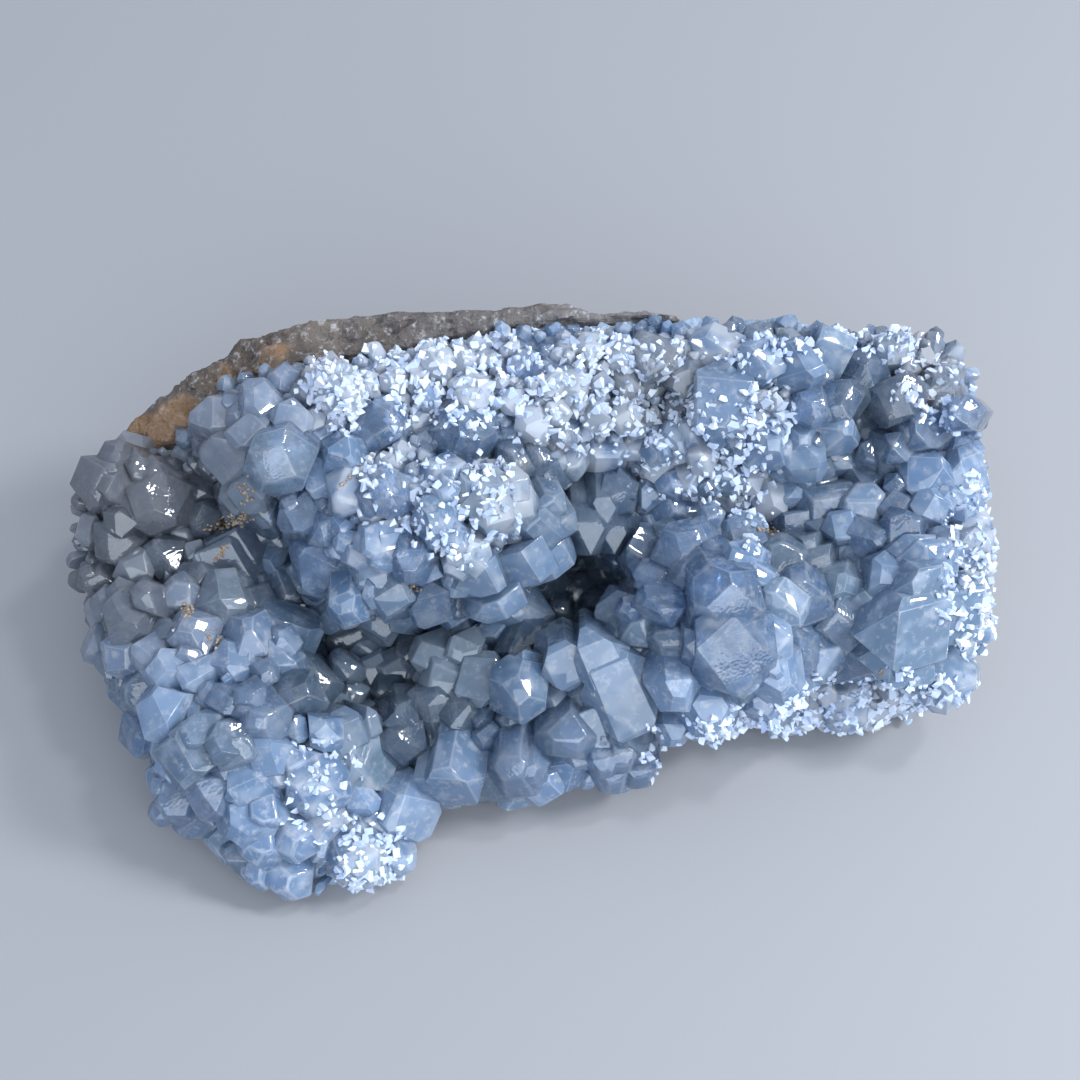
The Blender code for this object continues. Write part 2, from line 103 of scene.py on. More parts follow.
# Lobes on the crystal face, each an ellipsoid: centre u, v, w, radii, turn in the sight plane
LOBES = (
    ((-30, 22, -4), (11, 10, 9), 0),  # frosted boss, upper left
    ((-53, 11, -11), (8, 9, 9), 0),  # shelf at the left end
    ((-52, 3, -11), (8, 8, 8), 0),  # its lower side
    ((-14, 11, -3), (15, 11, 11), 10),  # white lobe over the valley
    ((2, 27, -8), (36, 11, 8), 0),  # sugary band under the upper edge
    ((30, 26, -7), (17, 12, 8), 0),  # upper right field
    ((51, 23, -9), (9, 12, 8), 0),  # right shoulder
    ((49, 2, -7), (12, 13, 9), 0),  # right end
    ((24, -3, -3), (13, 11, 11), 0),  # milky lobe, right of the pocket
    ((2, -15, -5), (15, 9, 7), 0),  # crystals at the front rim
    ((-45, -5, -7), (11, 10, 9), 0),  # big left lobe, where it joins the chunk
    ((-36, -17, -3), (15, 12, 12), -49),  # big left lobe, its crown
    ((-27, -28, -3), (12, 9, 8), -49),  # big left lobe, down to the floor
    ((-17, -16, -8), (7, 6, 7), 0),  # foot of the valley, down to the floor
    ((36, -8.5, -12), (20, 8.5, 7), 0),  # druse along the lower right rim
)

# Hollows between the lobes
HOLLOWS = (
    ((7, 3, -8), (8.5, 8, 9), 0),  # dark pocket in the middle
    ((-20, -8, 0), (12, 9, 9), 20),  # valley left of the middle
    ((17.5, 27.5, -1), (5.5, 4, 5), 0),  # small hole in the sugary band
    ((44, 22, -2), (4.5, 6, 7), 10),  # dark recess at the right
    ((-15.5, -25, -5), (2.5, 6, 9), 0),  # notch beside the big lobe
)

# Surface where the crystal bed meets the rind, an ellipsoid on the sight plane
PARTING_CENTRE = (10, -8, 8)
PARTING_RADII = (130, 49, 31)
PARTING_TURN = 7

# Crystals placed one by one:
# u, v, width, thickness, reach, lean along u, lean along v, turn about its own axis, tip sharpness
LEFT_END = (
    (-47.8, 13.7, 9.5, 8.0, 6.0, -0.2, 0.0, 20, 0.5),
    (-54.6, 15.6, 8.5, 5.5, 4.0, -0.7, 0.3, 60, 0.3),
    (-53.3, 8.5, 6.5, 5.0, 3.5, -0.5, -0.2, 0, 0.4),
    (-47.7, 6.4, 7.5, 5.0, 3.0, -0.1, -0.4, 35, 0.3),
    (-55.5, 3.6, 6.5, 5.5, 3.5, -0.8, -0.3, 80, 0.7),
    (-38.7, 5.2, 12.0, 8.0, 4.0, 0.1, -0.3, 25, 0.2),
    (-40.7, 17.7, 5.5, 4.0, 4.0, -0.4, 0.0, 70, 0.8),
    (-42.0, 12.0, 6.0, 4.5, 4.5, -0.3, -0.4, 10, 0.6),
    (-51.0, 19.5, 5.5, 4.0, 3.5, -0.4, 0.5, 40, 0.5),
)
BOSS = (
    (-32.0, 19.5, 10.0, 8.5, 6.5, 0.0, -0.3, 15, 0.4),
    (-25.0, 27.0, 8.5, 7.0, 4.5, 0.1, 0.2, 50, 0.5),
    (-34.5, 26.0, 7.0, 6.0, 4.0, -0.4, 0.2, 0, 0.6),
    (-24.5, 20.0, 7.0, 5.0, 5.5, 0.4, -0.3, 30, 0.7),
    (-29.5, 13.0, 6.5, 5.0, 5.5, 0.0, -0.8, 75, 0.8),
    (-36.5, 13.8, 6.0, 5.0, 5.0, -0.6, -0.5, 20, 0.6),
)
WHITE_LOBE = (
    (-5.6, 13.4, 9.0, 7.5, 6.0, 0.4, 0.0, 10, 0.3),
    (-8.5, 7.5, 6.5, 5.5, 5.0, 0.3, -0.7, 45, 0.5),
    (-15.0, 7.0, 6.0, 5.0, 5.5, 0.0, -0.7, 0, 0.6),
    (-23.4, 3.0, 6.5, 5.5, 7.0, 0.1, -0.9, 20, 0.5),
    (-19.0, 8.5, 7.0, 5.5, 5.0, -0.3, -0.4, 60, 0.7),
    (-18.0, 14.5, 7.5, 6.0, 4.5, -0.3, 0.0, 30, 0.6),
    (-11.0, 16.5, 7.0, 5.5, 4.0, 0.0, 0.1, 85, 0.5),
    (-12.0, 11.5, 7.5, 6.0, 5.0, 0.0, -0.2, 15, 0.6),
    (-2.5, 18.5, 6.0, 5.0, 3.5, 0.4, 0.2, 35, 0.6),
)
POCKET = (
    (0.0, 12.5, 8.0, 5.0, 7.0, 0.3, -0.6, 40, 0.4),
    (7.3, 15.0, 8.5, 6.0, 12.0, 0.0, -1.1, 0, 1.0),
    (-2.0, 6.5, 11.5, 4.5, 6.5, 0.6, -0.1, 32, 0.4),
    (-6.8, 2.3, 5.0, 4.0, 4.5, 0.2, -0.2, 10, 0.7),
    (-11.6, -1.2, 8.5, 6.0, 4.5, 0.0, 0.3, 20, 0.2),
    (-3.0, -1.2, 10.5, 7.5, 7.0, 0.4, 0.0, 55, 0.5),
    (10.8, 15.6, 7.0, 6.0, 6.0, 0.1, -0.5, 15, 0.4),
    (13.9, 7.5, 6.5, 5.0, 5.0, -0.4, -0.1, 30, 0.8),
    (10.2, -0.6, 6.0, 4.5, 5.5, -0.3, 0.2, 80, 0.5),
    (3.9, -7.0, 7.5, 6.0, 5.5, 0.0, 0.5, 25, 0.7),
)
UPPER_RIGHT = (
    (18.8, 12.6, 8.0, 6.0, 5.0, 0.0, -0.4, 65, 0.6),
    (18.8, 21.5, 6.0, 5.0, 4.0, 0.1, -0.3, 10, 0.7),
    (24.7, 26.0, 13.0, 7.5, 4.5, 0.0, 0.1, 85, 0.2),
    (29.5, 31.0, 8.0, 6.0, 4.0, 0.2, 0.3, 30, 0.4),
    (38.5, 32.5, 9.5, 5.0, 4.5, 0.2, 0.4, 70, 0.4),
    (46.0, 32.0, 7.0, 5.0, 4.5, 0.4, 0.5, 45, 0.5),
    (31.0, 21.0, 7.5, 6.0, 4.5, 0.1, -0.1, 0, 0.7),
    (36.0, 25.5, 6.5, 5.0, 4.0, 0.3, 0.0, 20, 0.6),
    (12.0, 32.0, 6.0, 5.0, 3.5, 0.0, 0.5, 50, 0.6),
    (25.0, 17.0, 5.5, 4.5, 4.0, 0.3, -0.3, 35, 0.8),
)
RIGHT_END = (
    (51.0, 22.5, 9.5, 4.5, 5.5, -0.5, 0.0, 5, 0.9),
    (52.5, 27.5, 6.5, 5.0, 4.0, 0.6, 0.4, 40, 0.6),
    (54.6, 16.5, 8.5, 7.0, 5.0, 0.6, 0.1, 20, 0.4),
    (51.0, 12.5, 7.0, 5.5, 4.5, 0.2, -0.1, 60, 0.5),
    (38.4, 12.0, 13.0, 8.5, 5.0, 0.0, -0.3, 8, 0.2),
    (37.0, 5.8, 13.0, 5.0, 5.0, 0.1, -0.2, 12, 0.7),
    (50.7, 5.5, 9.0, 5.0, 4.5, 0.4, 0.1, 0, 0.4),
    (48.5, -2.0, 14.0, 10.0, 5.5, 0.3, -0.4, 5, 0.2),
    (39.7, -1.3, 10.0, 6.5, 5.5, 0.1, -0.5, 50, 0.4),
    (56.5, 7.5, 7.0, 5.5, 4.0, 0.9, 0.0, 30, 0.6),
    (55.0, 0.5, 6.5, 5.0, 4.0, 0.9, -0.4, 10, 0.6),
    (43.5, 17.0, 6.5, 5.0, 4.0, -0.2, -0.4, 75, 0.7),
)
MILKY_LOBE = (
    (20.0, 6.8, 8.5, 6.5, 5.0, 0.0, 0.3, 15, 0.6),
    (25.5, -4.5, 12.5, 11.0, 6.0, 0.1, -0.3, 40, 0.3),
    (28.0, 2.5, 8.0, 6.5, 4.5, 0.4, 0.2, 70, 0.5),
    (22.5, -11.5, 9.0, 7.0, 6.0, 0.0, -0.9, 0, 0.6),
    (31.0, -8.0, 8.5, 6.5, 5.5, 0.5, -0.7, 30, 0.6),
    (17.5, 0.0, 7.0, 5.5, 5.0, -0.4, 0.0, 60, 0.6),
)
FRONT_RIM = (
    (11.5, -9.6, 12.5, 10.5, 7.5, 0.0, -0.2, 25, 0.15),
    (12.0, -15.5, 8.0, 6.0, 5.5, 0.2, -0.8, 50, 0.5),
    (-1.2, -10.5, 9.0, 7.5, 6.0, -0.1, 0.0, 35, 0.6),
    (4.5, -15.5, 8.5, 7.0, 5.5, 0.0, -0.6, 80, 0.6),
    (-1.5, -19.0, 8.5, 7.5, 6.0, -0.1, -1.0, 15, 0.4),
    (10.2, -20.0, 7.5, 6.5, 4.5, 0.2, -1.2, 0, 0.5),
    (-9.2, -17.5, 9.0, 7.0, 8.0, -0.2, -1.2, 20, 0.15),
    (14.5, -19.0, 5.5, 4.5, 4.0, 0.5, -1.1, 45, 0.6),
)
VALLEY = (
    (-19.5, -1.8, 8.0, 5.5, 4.5, 0.0, -0.2, 60, 0.4),
    (-17.5, -9.0, 10.0, 7.0, 5.0, 0.2, 0.0, 25, 0.4),
    (-10.0, -10.0, 9.5, 7.0, 5.5, -0.1, 0.0, 70, 0.3),
    (-24.5, -8.5, 7.5, 5.5, 4.5, 0.4, 0.3, 10, 0.6),
    (-17.0, -16.5, 8.0, 6.0, 5.0, 0.2, -0.5, 45, 0.5),
)
LEFT_LOBE = (
    (-50.5, -2.1, 8.5, 7.0, 5.5, -0.6, 0.3, 30, 0.4),
    (-43.0, -4.0, 7.5, 6.0, 4.5, -0.1, 0.5, 75, 0.6),
    (-36.5, -5.0, 8.5, 6.5, 5.5, 0.1, 0.6, 10, 0.7),
    (-29.5, -10.0, 9.5, 7.5, 6.0, 0.5, 0.3, 50, 0.4),
    (-42.5, -18.5, 11.0, 5.5, 5.0, -0.4, -0.2, 40, 0.5),
    (-26.0, -16.5, 7.5, 6.0, 5.5, 0.7, 0.0, 20, 0.3),
    (-34.5, -14.5, 8.0, 6.5, 4.5, 0.0, 0.1, 85, 0.6),
    (-28.0, -22.5, 9.5, 8.0, 5.0, 0.3, -0.2, 35, 0.4),
    (-22.5, -31.5, 8.5, 6.5, 5.5, 0.5, -0.8, 15, 0.5),
    (-18.2, -25.5, 10.0, 7.0, 6.0, 0.9, -0.3, 60, 0.2),
    (-49.0, -11.0, 7.5, 6.0, 4.5, -0.9, -0.1, 5, 0.6),
    (-36.0, -27.0, 8.5, 7.0, 5.0, -0.3, -0.5, 65, 0.6),
    (-31.0, -34.0, 7.5, 6.0, 4.5, -0.1, -1.0, 30, 0.6),
    (-44.5, -24.5, 7.0, 5.5, 4.5, -0.8, -0.5, 50, 0.6),
)
PLACED_CRYSTALS = (
    LEFT_END + BOSS + WHITE_LOBE + POCKET + UPPER_RIGHT + RIGHT_END
    + MILKY_LOBE + FRONT_RIM + VALLEY + LEFT_LOBE
)

# Smaller crystals over the rest of the bed, as far apart as their spacing
FILL_SEED = 11
FILL_TRIES = 1500
FILL_SPACING = 9.8
FILL_CLEARANCE = 0.45
FILL_WIDTH = (4.5, 7.0)
FILL_REACH = (2.0, 3.5)
FILL_LEAN = 0.35
FILL_FLATNESS = 0.85
FILL_SHARPNESS = 0.7
FILL_HEIGHTS = (3.0, 36.5)

# How every crystal is cut: each face's angle, in degrees, from its wide side or from its axis
PRISM_ANGLE = 38
CHISEL_ANGLE = 50
SIDE_DOME_ANGLE = 42
ANGLE_PLAY = 6
# Shares of a crystal's width: its root, its side edges, the rise of a blunt tip's ridge, and
# how far the ridge strays
ROOT_SHARE = 0.55
SIDE_EDGE_SHARE = (0.46, 0.52)
RIDGE_RISE = 0.32
RIDGE_PLAY = 0.06
FACE_SKEW = 0.1
TOP_SKEW = 0.08



def regions(*rows):
    """Regions on the sight plane, from rows of u, v, radius along, radius across, turn, strength."""
    return [
        (*row[:4], math.cos(math.radians(row[4])), math.sin(math.radians(row[4])), row[5])
        for row in rows
    ]


# White and sugary
SUGAR = regions(
    (-12, 30, 17, 7, -6, 1.0),
    (8, 27, 16, 7.5, -12, 1.0),
    (20, 18.5, 10, 5, -25, 0.7),
    (28.5, 17, 2.8, 8, 0, 1.0),
    (31.5, 25.5, 3.5, 4, 0, 0.9),
    (-24, 28, 6, 5, 0, 1.0),
    (-5.5, 13, 4.5, 6.5, 0, 1.0),
    (-9.0, 7.5, 4.5, 3.0, 0, 0.9),
    (-15, 14, 8, 7, 0, 0.62),
    (46.5, 34, 6, 3.5, -30, 0.8),
    (52, 28, 5, 6, 20, 0.6),
    (57.5, 4, 4, 13, 0, 0.85),
    (38, -14.5, 22, 4.5, 12, 0.9),
    (-27, -23, 6, 7, 0, 0.55),
    (-21.5, -32, 6, 4.5, 0, 0.9),
    (4, 33, 42, 2.6, 0, 0.7),
)
# Milky inside
MILK = regions(
    (25, -7, 9, 9, 0, 0.8),
    (-27, -23, 7, 8, -30, 1.0),
    (-21, -32, 6, 5, 0, 1.0),
    (-14, 10, 12, 9, 10, 0.6),
    (-30, 22, 9, 8, 0, 0.55),
    (-37, -12, 10, 9, -40, 0.4),
    (2, -20, 6, 4, 0, 0.5),
    (57, 6, 7, 15, 0, 1.0),
    (48.5, -2, 7, 5, 0, 0.5),
    (32, 24, 6, 6, 0, 0.6),
    (-47.8, 13.7, 4, 4, 0, 0.5),
)
# Painted shade: deep, dark and grey in the pocket, the hollows, the recesses and other places where shade
# falls
PAINTED_SHADE_REGIONS = regions(
    (6, 3, 6, 7, 0, 1.0),
    (4, 12, 10, 7, 0, 0.62),
    (42, 8, 12, 7, 0, 0.25),
    (33, 22, 5, 8, 0, 0.3),
    (-20, -9, 12, 10, 20, 0.85),
    (-2, -9, 15, 8, 0, 0.55),
    (-12, -22, 6, 5, 0, 0.5),
    (17.5, 27.5, 5.5, 3.6, 0, 0.9),
    (44.5, 24, 4.5, 6, 10, 0.8),
    (-50, 7, 7, 5, 0, 0.6),
    (-38, 10, 7, 9, 20, 0.5),
    (17, -11, 3, 4.5, 20, 0.9),
    (-14, 21, 5, 1.6, 0, 0.5),
    (40, 18, 6, 3, 0, 0.5),
    (43, 5, 5, 3, 0, 0.3),
    (9.1, 28.6, 6.5, 8.9, 0, 0.22),
    (27.9, 27.0, 8.9, 8.5, 0, 0.26),
    (3.2, 12.0, 8.9, 7.0, 0, 0.45),
)
# Large crystals, with few small ones between them
COARSE = regions(
    (-19, -9, 13, 10, 20, 1.0),
    (0, -11, 18, 10, 0, 1.0),
    (44, 4, 15, 12, 0, 0.9),
    (7, 5, 8, 8, 0, 1.0),
    (24, 27, 8, 7, 0, 0.7),
    (-49, 9, 10, 9, 0, 0.7),
    (25, -5, 10, 9, 0, 0.9),
    (-38, 6, 8, 6, 0, 0.8),
)
# Grey-brown, where rock shows through and dust has settled
EARTH = regions(
    (-52, 14, 9, 10, 20, 1.0),
    (-54, 3, 6, 9, 0, 0.9),
    (-41, 16, 6, 10, -20, 0.8),
    (-47, 5, 9, 8, 0, 0.6),
    (-46, -2, 10, 6, 0, 0.5),
    (-31, 28, 7, 4, 30, 0.5),
    (50, 31, 4, 4, 0, 0.6),
    (17, 28, 6, 4, 0, 0.5),
    (-17, -10, 9, 7, 0, 0.35),
)
# Full strength inside the core and none past the edge, in radii
REGION_CORE = 0.7
REGION_EDGE = 1.5
# How far the sugar's edge strays, and over what length
SUGAR_RAGGED = 0.55
SUGAR_PATCH = 4.5
SUGAR_ONSET = 3.0


def sight_vector(u, v, w):
    return Matrix.Rotation(SIGHT_SLOPE, 3, "X") @ Vector((u, v, w))


def sight_point(u, v, w):
    return SIGHT_ORIGIN + sight_vector(u, v, w)


def on_sight_plane(point):
    """u and v of a point as the viewer sees it, for places in millimetres."""
    local = Matrix.Rotation(-SIGHT_SLOPE, 3, "X") @ (point - SIGHT_ORIGIN)
    spread = EYE[2] / (EYE[2] - local.z)
    return EYE[0] + (local.x - EYE[0]) * spread, EYE[1] + (local.y - EYE[1]) * spread


def strength_at(rows, point):
    """How strongly a point lies in a table of regions, from 0 to 1."""
    u, v = on_sight_plane(point)
    most = 0.0
    for centre_u, centre_v, radius_u, radius_v, cosine, sine, strength in rows:
        across, up = u - centre_u, v - centre_v
        along = (across * cosine + up * sine) / radius_u
        aside = (up * cosine - across * sine) / radius_v
        inside = (REGION_EDGE - math.hypot(along, aside)) / (REGION_EDGE - REGION_CORE)
        if inside > 0.0:
            most = max(most, strength * min(1.0, inside))
    return most


def sugar_at(point):
    """How sugary a point is: its regions, with a ragged edge."""
    strength = strength_at(SUGAR, point)
    if strength == 0.0:
        return 0.0
    ragged = SUGAR_RAGGED * noise.noise(point / SUGAR_PATCH)
    return min(1.0, max(0.0, strength + ragged * min(1.0, SUGAR_ONSET * strength)))


def finished_object(name, bm):
    """A new object from a mesh in millimetres, its faces turned outwards."""
    bmesh.ops.recalc_face_normals(bm, faces=bm.faces)
    bmesh.ops.scale(bm, vec=(MM, MM, MM), verts=bm.verts)
    mesh = bpy.data.meshes.new(name)
    bm.to_mesh(mesh)
    bm.free()
    made = bpy.data.objects.new(name, mesh)
    bpy.context.scene.collection.objects.link(made)
    return made


def evaluated_bmesh(obj):
    """The object's mesh with its modifiers, in millimetres."""
    graph = bpy.context.evaluated_depsgraph_get()
    bm = bmesh.new()
    bm.from_object(obj, graph)
    bmesh.ops.scale(bm, vec=(1 / MM, 1 / MM, 1 / MM), verts=bm.verts)
    return bm


def discard(*objects):
    for obj in objects:
        bpy.data.objects.remove(obj, do_unlink=True)


def add_boolean(obj, other, operation, use_self=False):
    modifier = obj.modifiers.new(f"{operation.lower()} {other.name}", "BOOLEAN")
    modifier.object = other
    modifier.operation = operation
    modifier.solver = "EXACT"
    modifier.use_self = use_self


def add_remesh(obj, voxel):
    modifier = obj.modifiers.new("one skin", "REMESH")
    modifier.mode = "VOXEL"
    modifier.voxel_size = voxel * MM


def ellipsoids(name, rows, subdivisions=3):
    """One object that holds an ellipsoid for each row of centre, radii and turn."""
    bm = bmesh.new()
    for centre, radii, turn in rows:
        place = (
            Matrix.Translation(sight_point(*centre))
            @ Matrix.Rotation(SIGHT_SLOPE, 4, "X")
            @ Matrix.Rotation(math.radians(turn), 4, "Z")
            @ Matrix.Diagonal((*radii, 1.0))
        )
        bmesh.ops.create_icosphere(bm, subdivisions=subdivisions, radius=1.0, matrix=place)
    return finished_object(name, bm)


def broken_chunk():
    bm = bmesh.new()
    for corner in CHUNK_CORNERS:
        bm.verts.new(Vector(corner) + MIDDLE_SHIFT)
    bmesh.ops.convex_hull(bm, input=bm.verts)
    return finished_object("broken_chunk", bm)


def roughen(bm):
    """Moves each point of the mass in or out a little, as rock breaks."""
    bm.normal_update()
    for vert in bm.verts:
        swell = noise.fractal(vert.co / ROCK_GRAIN, 1.0, 2.0, ROCK_OCTAVES)
        vert.co += vert.normal * swell * ROCK_ROUGHNESS


def grown_mass():
    """The whole chunk with its lobes and hollows in one smooth skin, before it is parted."""
    lobes = ellipsoids("lobes", LOBES)
    hollows = ellipsoids("hollows", HOLLOWS)
    chunk = broken_chunk()
    add_boolean(chunk, lobes, "UNION", use_self=True)
    add_remesh(chunk, MASS_VOXEL)
    add_boolean(chunk, hollows, "DIFFERENCE", use_self=True)
    add_remesh(chunk, MASS_VOXEL)
    smooth = chunk.modifiers.new("worn edges", "SMOOTH")
    smooth.iterations = MASS_SMOOTHING
    skin = evaluated_bmesh(chunk)
    roughen(skin)
    rough = finished_object("rough_chunk", skin)
    fewer = rough.modifiers.new("fewer faces", "DECIMATE")
    fewer.ratio = MASS_KEPT_SHARE
    bm = evaluated_bmesh(rough)
    discard(chunk, lobes, hollows, rough)
    bmesh.ops.triangulate(bm, faces=bm.faces)
    return bm


def parting_bowl(name, grown):
    """The bowl that the crystals fill, grown by a distance all round."""
    radii = [radius + grown for radius in PARTING_RADII]
    return ellipsoids(name, ((PARTING_CENTRE, radii, PARTING_TURN),), subdivisions=4)


def slice_off(bm, point, normal):
    """Cuts away what lies past a plane and closes the cut with one flat face."""
    cut = bmesh.ops.bisect_plane(
        bm,
        geom=bm.verts[:] + bm.edges[:] + bm.faces[:],
        dist=CUT_TOLERANCE,
        plane_co=point,
        plane_no=normal,
        clear_outer=True,
    )
    rim = [item for item in cut["geom_cut"] if isinstance(item, bmesh.types.BMEdge)]
    if rim:
        bmesh.ops.contextual_create(bm, geom=rim)


def crystal(width, thickness, reach, sharpness, rng):
    """A blocky celestite crystal along +Z, from its root below zero to its tip at reach."""
    root = ROOT_SHARE * width
    bm = bmesh.new()
    block = Matrix.Translation((0, 0, (reach - root) / 2)) @ Matrix.Diagonal(
        (width, thickness, reach + root, 1.0)
    )
    bmesh.ops.create_cube(bm, size=1.0, matrix=block)

    def angle(middle):
        return math.radians(middle + rng.uniform(-ANGLE_PLAY, ANGLE_PLAY))

    def skew(most):
        return rng.uniform(-most, most)

    for side_x in (-1, 1):
        for side_y in (-1, 1):
            prism = angle(PRISM_ANGLE)
            edge = Vector((side_x * width * rng.uniform(*SIDE_EDGE_SHARE), 0, 0))
            slice_off(bm, edge, (side_x * math.cos(prism), side_y * math.sin(prism), 0))
    peak = reach + (1 - sharpness) * RIDGE_RISE * width
    for side in (-1, 1):
        chisel = angle(CHISEL_ANGLE)
        ridge = Vector((skew(RIDGE_PLAY) * width, 0, peak))
        slice_off(bm, ridge, (side * math.sin(chisel), skew(FACE_SKEW), math.cos(chisel)))
        dome = angle(SIDE_DOME_ANGLE)
        slice_off(bm, ridge, (skew(FACE_SKEW), side * math.sin(dome), math.cos(dome)))
    slice_off(bm, Vector((0, 0, reach)), (skew(TOP_SKEW), skew(TOP_SKEW), 1))
    return bm


def standing(point, direction, turn):
    """The matrix that stands a crystal at a point, along a direction, turned about it."""
    along = direction.normalized()
    side = (Vector((1, 0, 0)) - along * along.x).normalized()
    axes = Matrix((side, along.cross(side), along)).transposed().to_4x4()
    return Matrix.Translation(point) @ axes @ Matrix.Rotation(math.radians(turn), 4, "Z")


def seen_point(tree, u, v):
    """Where the sight line through a place on the sight plane meets the mass, or None."""
    eye = sight_point(*EYE)
    sight_line = (sight_point(u, v, 0) - eye).normalized()
    return tree.ray_cast(eye, sight_line)[0]


def inside_bowl(point, room=0.0):
    local = Matrix.Rotation(-SIGHT_SLOPE, 3, "X") @ (point - SIGHT_ORIGIN) - Vector(PARTING_CENTRE)
    local.rotate(Matrix.Rotation(math.radians(-PARTING_TURN), 3, "Z"))
    return sum((at / (radius - room)) ** 2 for at, radius in zip(local, PARTING_RADII)) < 1


def point_between(corner, second, third, rng):
    """A random point on a triangle."""
    along = math.sqrt(rng.random())
    across = rng.random()
    return corner * (1 - along) + (second * (1 - across) + third * across) * along


def sown(bm, tries, rng):
    """Random points on a triangle mesh, each with its face's normal."""
    faces = list(bm.faces)
    areas = [face.calc_area() for face in faces]
    for face in rng.choices(faces, areas, k=tries):
        yield point_between(*(vert.co for vert in face.verts), rng), face.normal


def random_lean(rng, most):
    return Vector([rng.uniform(-most, most) for _ in range(3)])


def fill_crystals(mass, standing_points, rng):
    """Small crystals wherever the bed is still bare, as a point, direction and sizes each."""
    taken = [(point, FILL_CLEARANCE * width) for point, width in standing_points]
    rows = []
    for point, normal in sown(mass, FILL_TRIES, rng):
        width = rng.uniform(*FILL_WIDTH)
        reach = rng.uniform(*FILL_REACH)
        turn = rng.uniform(0, 180)
        lean = random_lean(rng, FILL_LEAN)
        if not FILL_HEIGHTS[0] < point.z < FILL_HEIGHTS[1] or not inside_bowl(point):
            continue
        if any((point - other).length < FILL_SPACING / 2 + room for other, room in taken):
            continue
        taken.append((point, FILL_SPACING / 2))
        thickness = FILL_FLATNESS * width
        rows.append((point, normal + lean, width, thickness, reach, turn, FILL_SHARPNESS))
    return rows


# Many small pieces in one mesh

# How much more a broad face pulls at the normals than a narrow one
BROAD_FACE_PULL = 0.35


def soft_normals(mesh):
    """A normal for each point that leans to its broadest face, so that faces bulge only a little."""
    ways = np.empty(len(mesh.polygons) * 3, np.float32)
    areas = np.empty(len(mesh.polygons), np.float32)
    sizes = np.empty(len(mesh.polygons), np.int32)
    verts = np.empty(len(mesh.loops), np.int32)
    mesh.polygons.foreach_get("normal", ways)
    mesh.polygons.foreach_get("area", areas)
    mesh.polygons.foreach_get("loop_total", sizes)
    mesh.loops.foreach_get("vertex_index", verts)
    pulls = ways.reshape(-1, 3) * ((areas / MM ** 2) ** BROAD_FACE_PULL)[:, None]
    normals = np.zeros((len(mesh.vertices), 3))
    np.add.at(normals, verts, np.repeat(pulls, sizes, axis=0))
    return (normals / np.linalg.norm(normals, axis=1)[:, None]).tolist()


def store(mesh, name, values, kind="FLOAT", domain="POINT", key="value"):
    """Keeps a value for each point or face of a mesh, for its finish to read."""
    mesh.attributes.new(name, kind, domain).data.foreach_set(key, values)


def store_regions(mesh, **tables):
    """Keeps how strongly each point of a mesh lies in each table of regions."""
    points = [vert.co / MM for vert in mesh.vertices]
    for name, rows in tables.items():
        store(mesh, name, [strength_at(rows, point) for point in points])


class Clump:
    """One mesh in the making: closed pieces in millimetres, each with values of its own."""

    def __init__(self, name):
        self.name = name
        self.points, self.corners, self.sizes = [], [], []
        self.places, self.rises, self.values, self.edges = [], [], [], []
        self.count = 0

    def add(self, shape, matrix, values, shift):
        """A shape, where it stands, its frost, painted shade, earth and chance, and its pattern's start."""
        points, corners, sizes, edges = shape
        turned = np.array(matrix.to_3x3())
        self.points.append(points @ turned.T + np.array(matrix.translation))
        self.corners.append(corners + self.count)
        self.sizes.append(sizes)
        self.edges.append(edges)
        self.places.append(points * matrix.median_scale + shift)
        low, high = points[:, 2].min(), points[:, 2].max()
        self.rises.append((points[:, 2] - low) / (high - low))
        self.values.append(np.tile(values, (len(points), 1)))
        self.count += len(points)

    def finish(self, smooth=True):
        points = np.concatenate(self.points) * MM
        corners = np.concatenate(self.corners)
        sizes = np.concatenate(self.sizes)
        mesh = bpy.data.meshes.new(self.name)
        mesh.vertices.add(len(points))
        mesh.vertices.foreach_set("co", points.ravel())
        mesh.loops.add(len(corners))
        mesh.loops.foreach_set("vertex_index", corners)
        mesh.polygons.add(len(sizes))
        mesh.polygons.foreach_set("loop_start", np.cumsum(sizes) - sizes)
        mesh.polygons.foreach_set("loop_total", sizes)
        mesh.update(calc_edges=True)
        if smooth:
            mesh.shade_smooth()
            mesh.normals_split_custom_set_from_vertices(soft_normals(mesh))
        else:
            mesh.shade_flat()
        store(mesh, "place", np.concatenate(self.places).ravel(), "FLOAT_VECTOR", key="vector")
        columns = [*np.concatenate(self.values).T, np.concatenate(self.rises)]
        for name, column in zip(("frost", "gloom", "earth", "chance", "rise"), columns):
            store(mesh, name, np.ascontiguousarray(column))
        store(mesh, "edge", np.concatenate(self.edges), domain="FACE")
        obj = bpy.data.objects.new(self.name, mesh)
        bpy.context.scene.collection.objects.link(obj)
        return obj


def as_arrays(bm, worn_faces=()):
    """A mesh's points, face corners, face sizes and which faces are worn edges."""
    bm.verts.index_update()
    points = np.array([vert.co[:] for vert in bm.verts])
    corners = np.array([vert.index for face in bm.faces for vert in face.verts])
    sizes = np.array([len(face.verts) for face in bm.faces])
    edges = np.array([float(face in worn_faces) for face in bm.faces])
    return points, corners, sizes, edges


# The angle between two faces, in radians, from which the edge between them is worn
SHARP_EDGE = 0.3


def worn(bm, width):
    """Narrow flats along a crystal's edges, which catch the light."""
    bmesh.ops.recalc_face_normals(bm, faces=bm.faces)
    edges = [edge for edge in bm.edges if edge.is_manifold and edge.calc_face_angle() > SHARP_EDGE]
    made = bmesh.ops.bevel(
        bm, geom=edges, offset=width, affect="EDGES", segments=1, profile=0.5, material=-1,
        clamp_overlap=True,
    )
    return set(made["faces"])


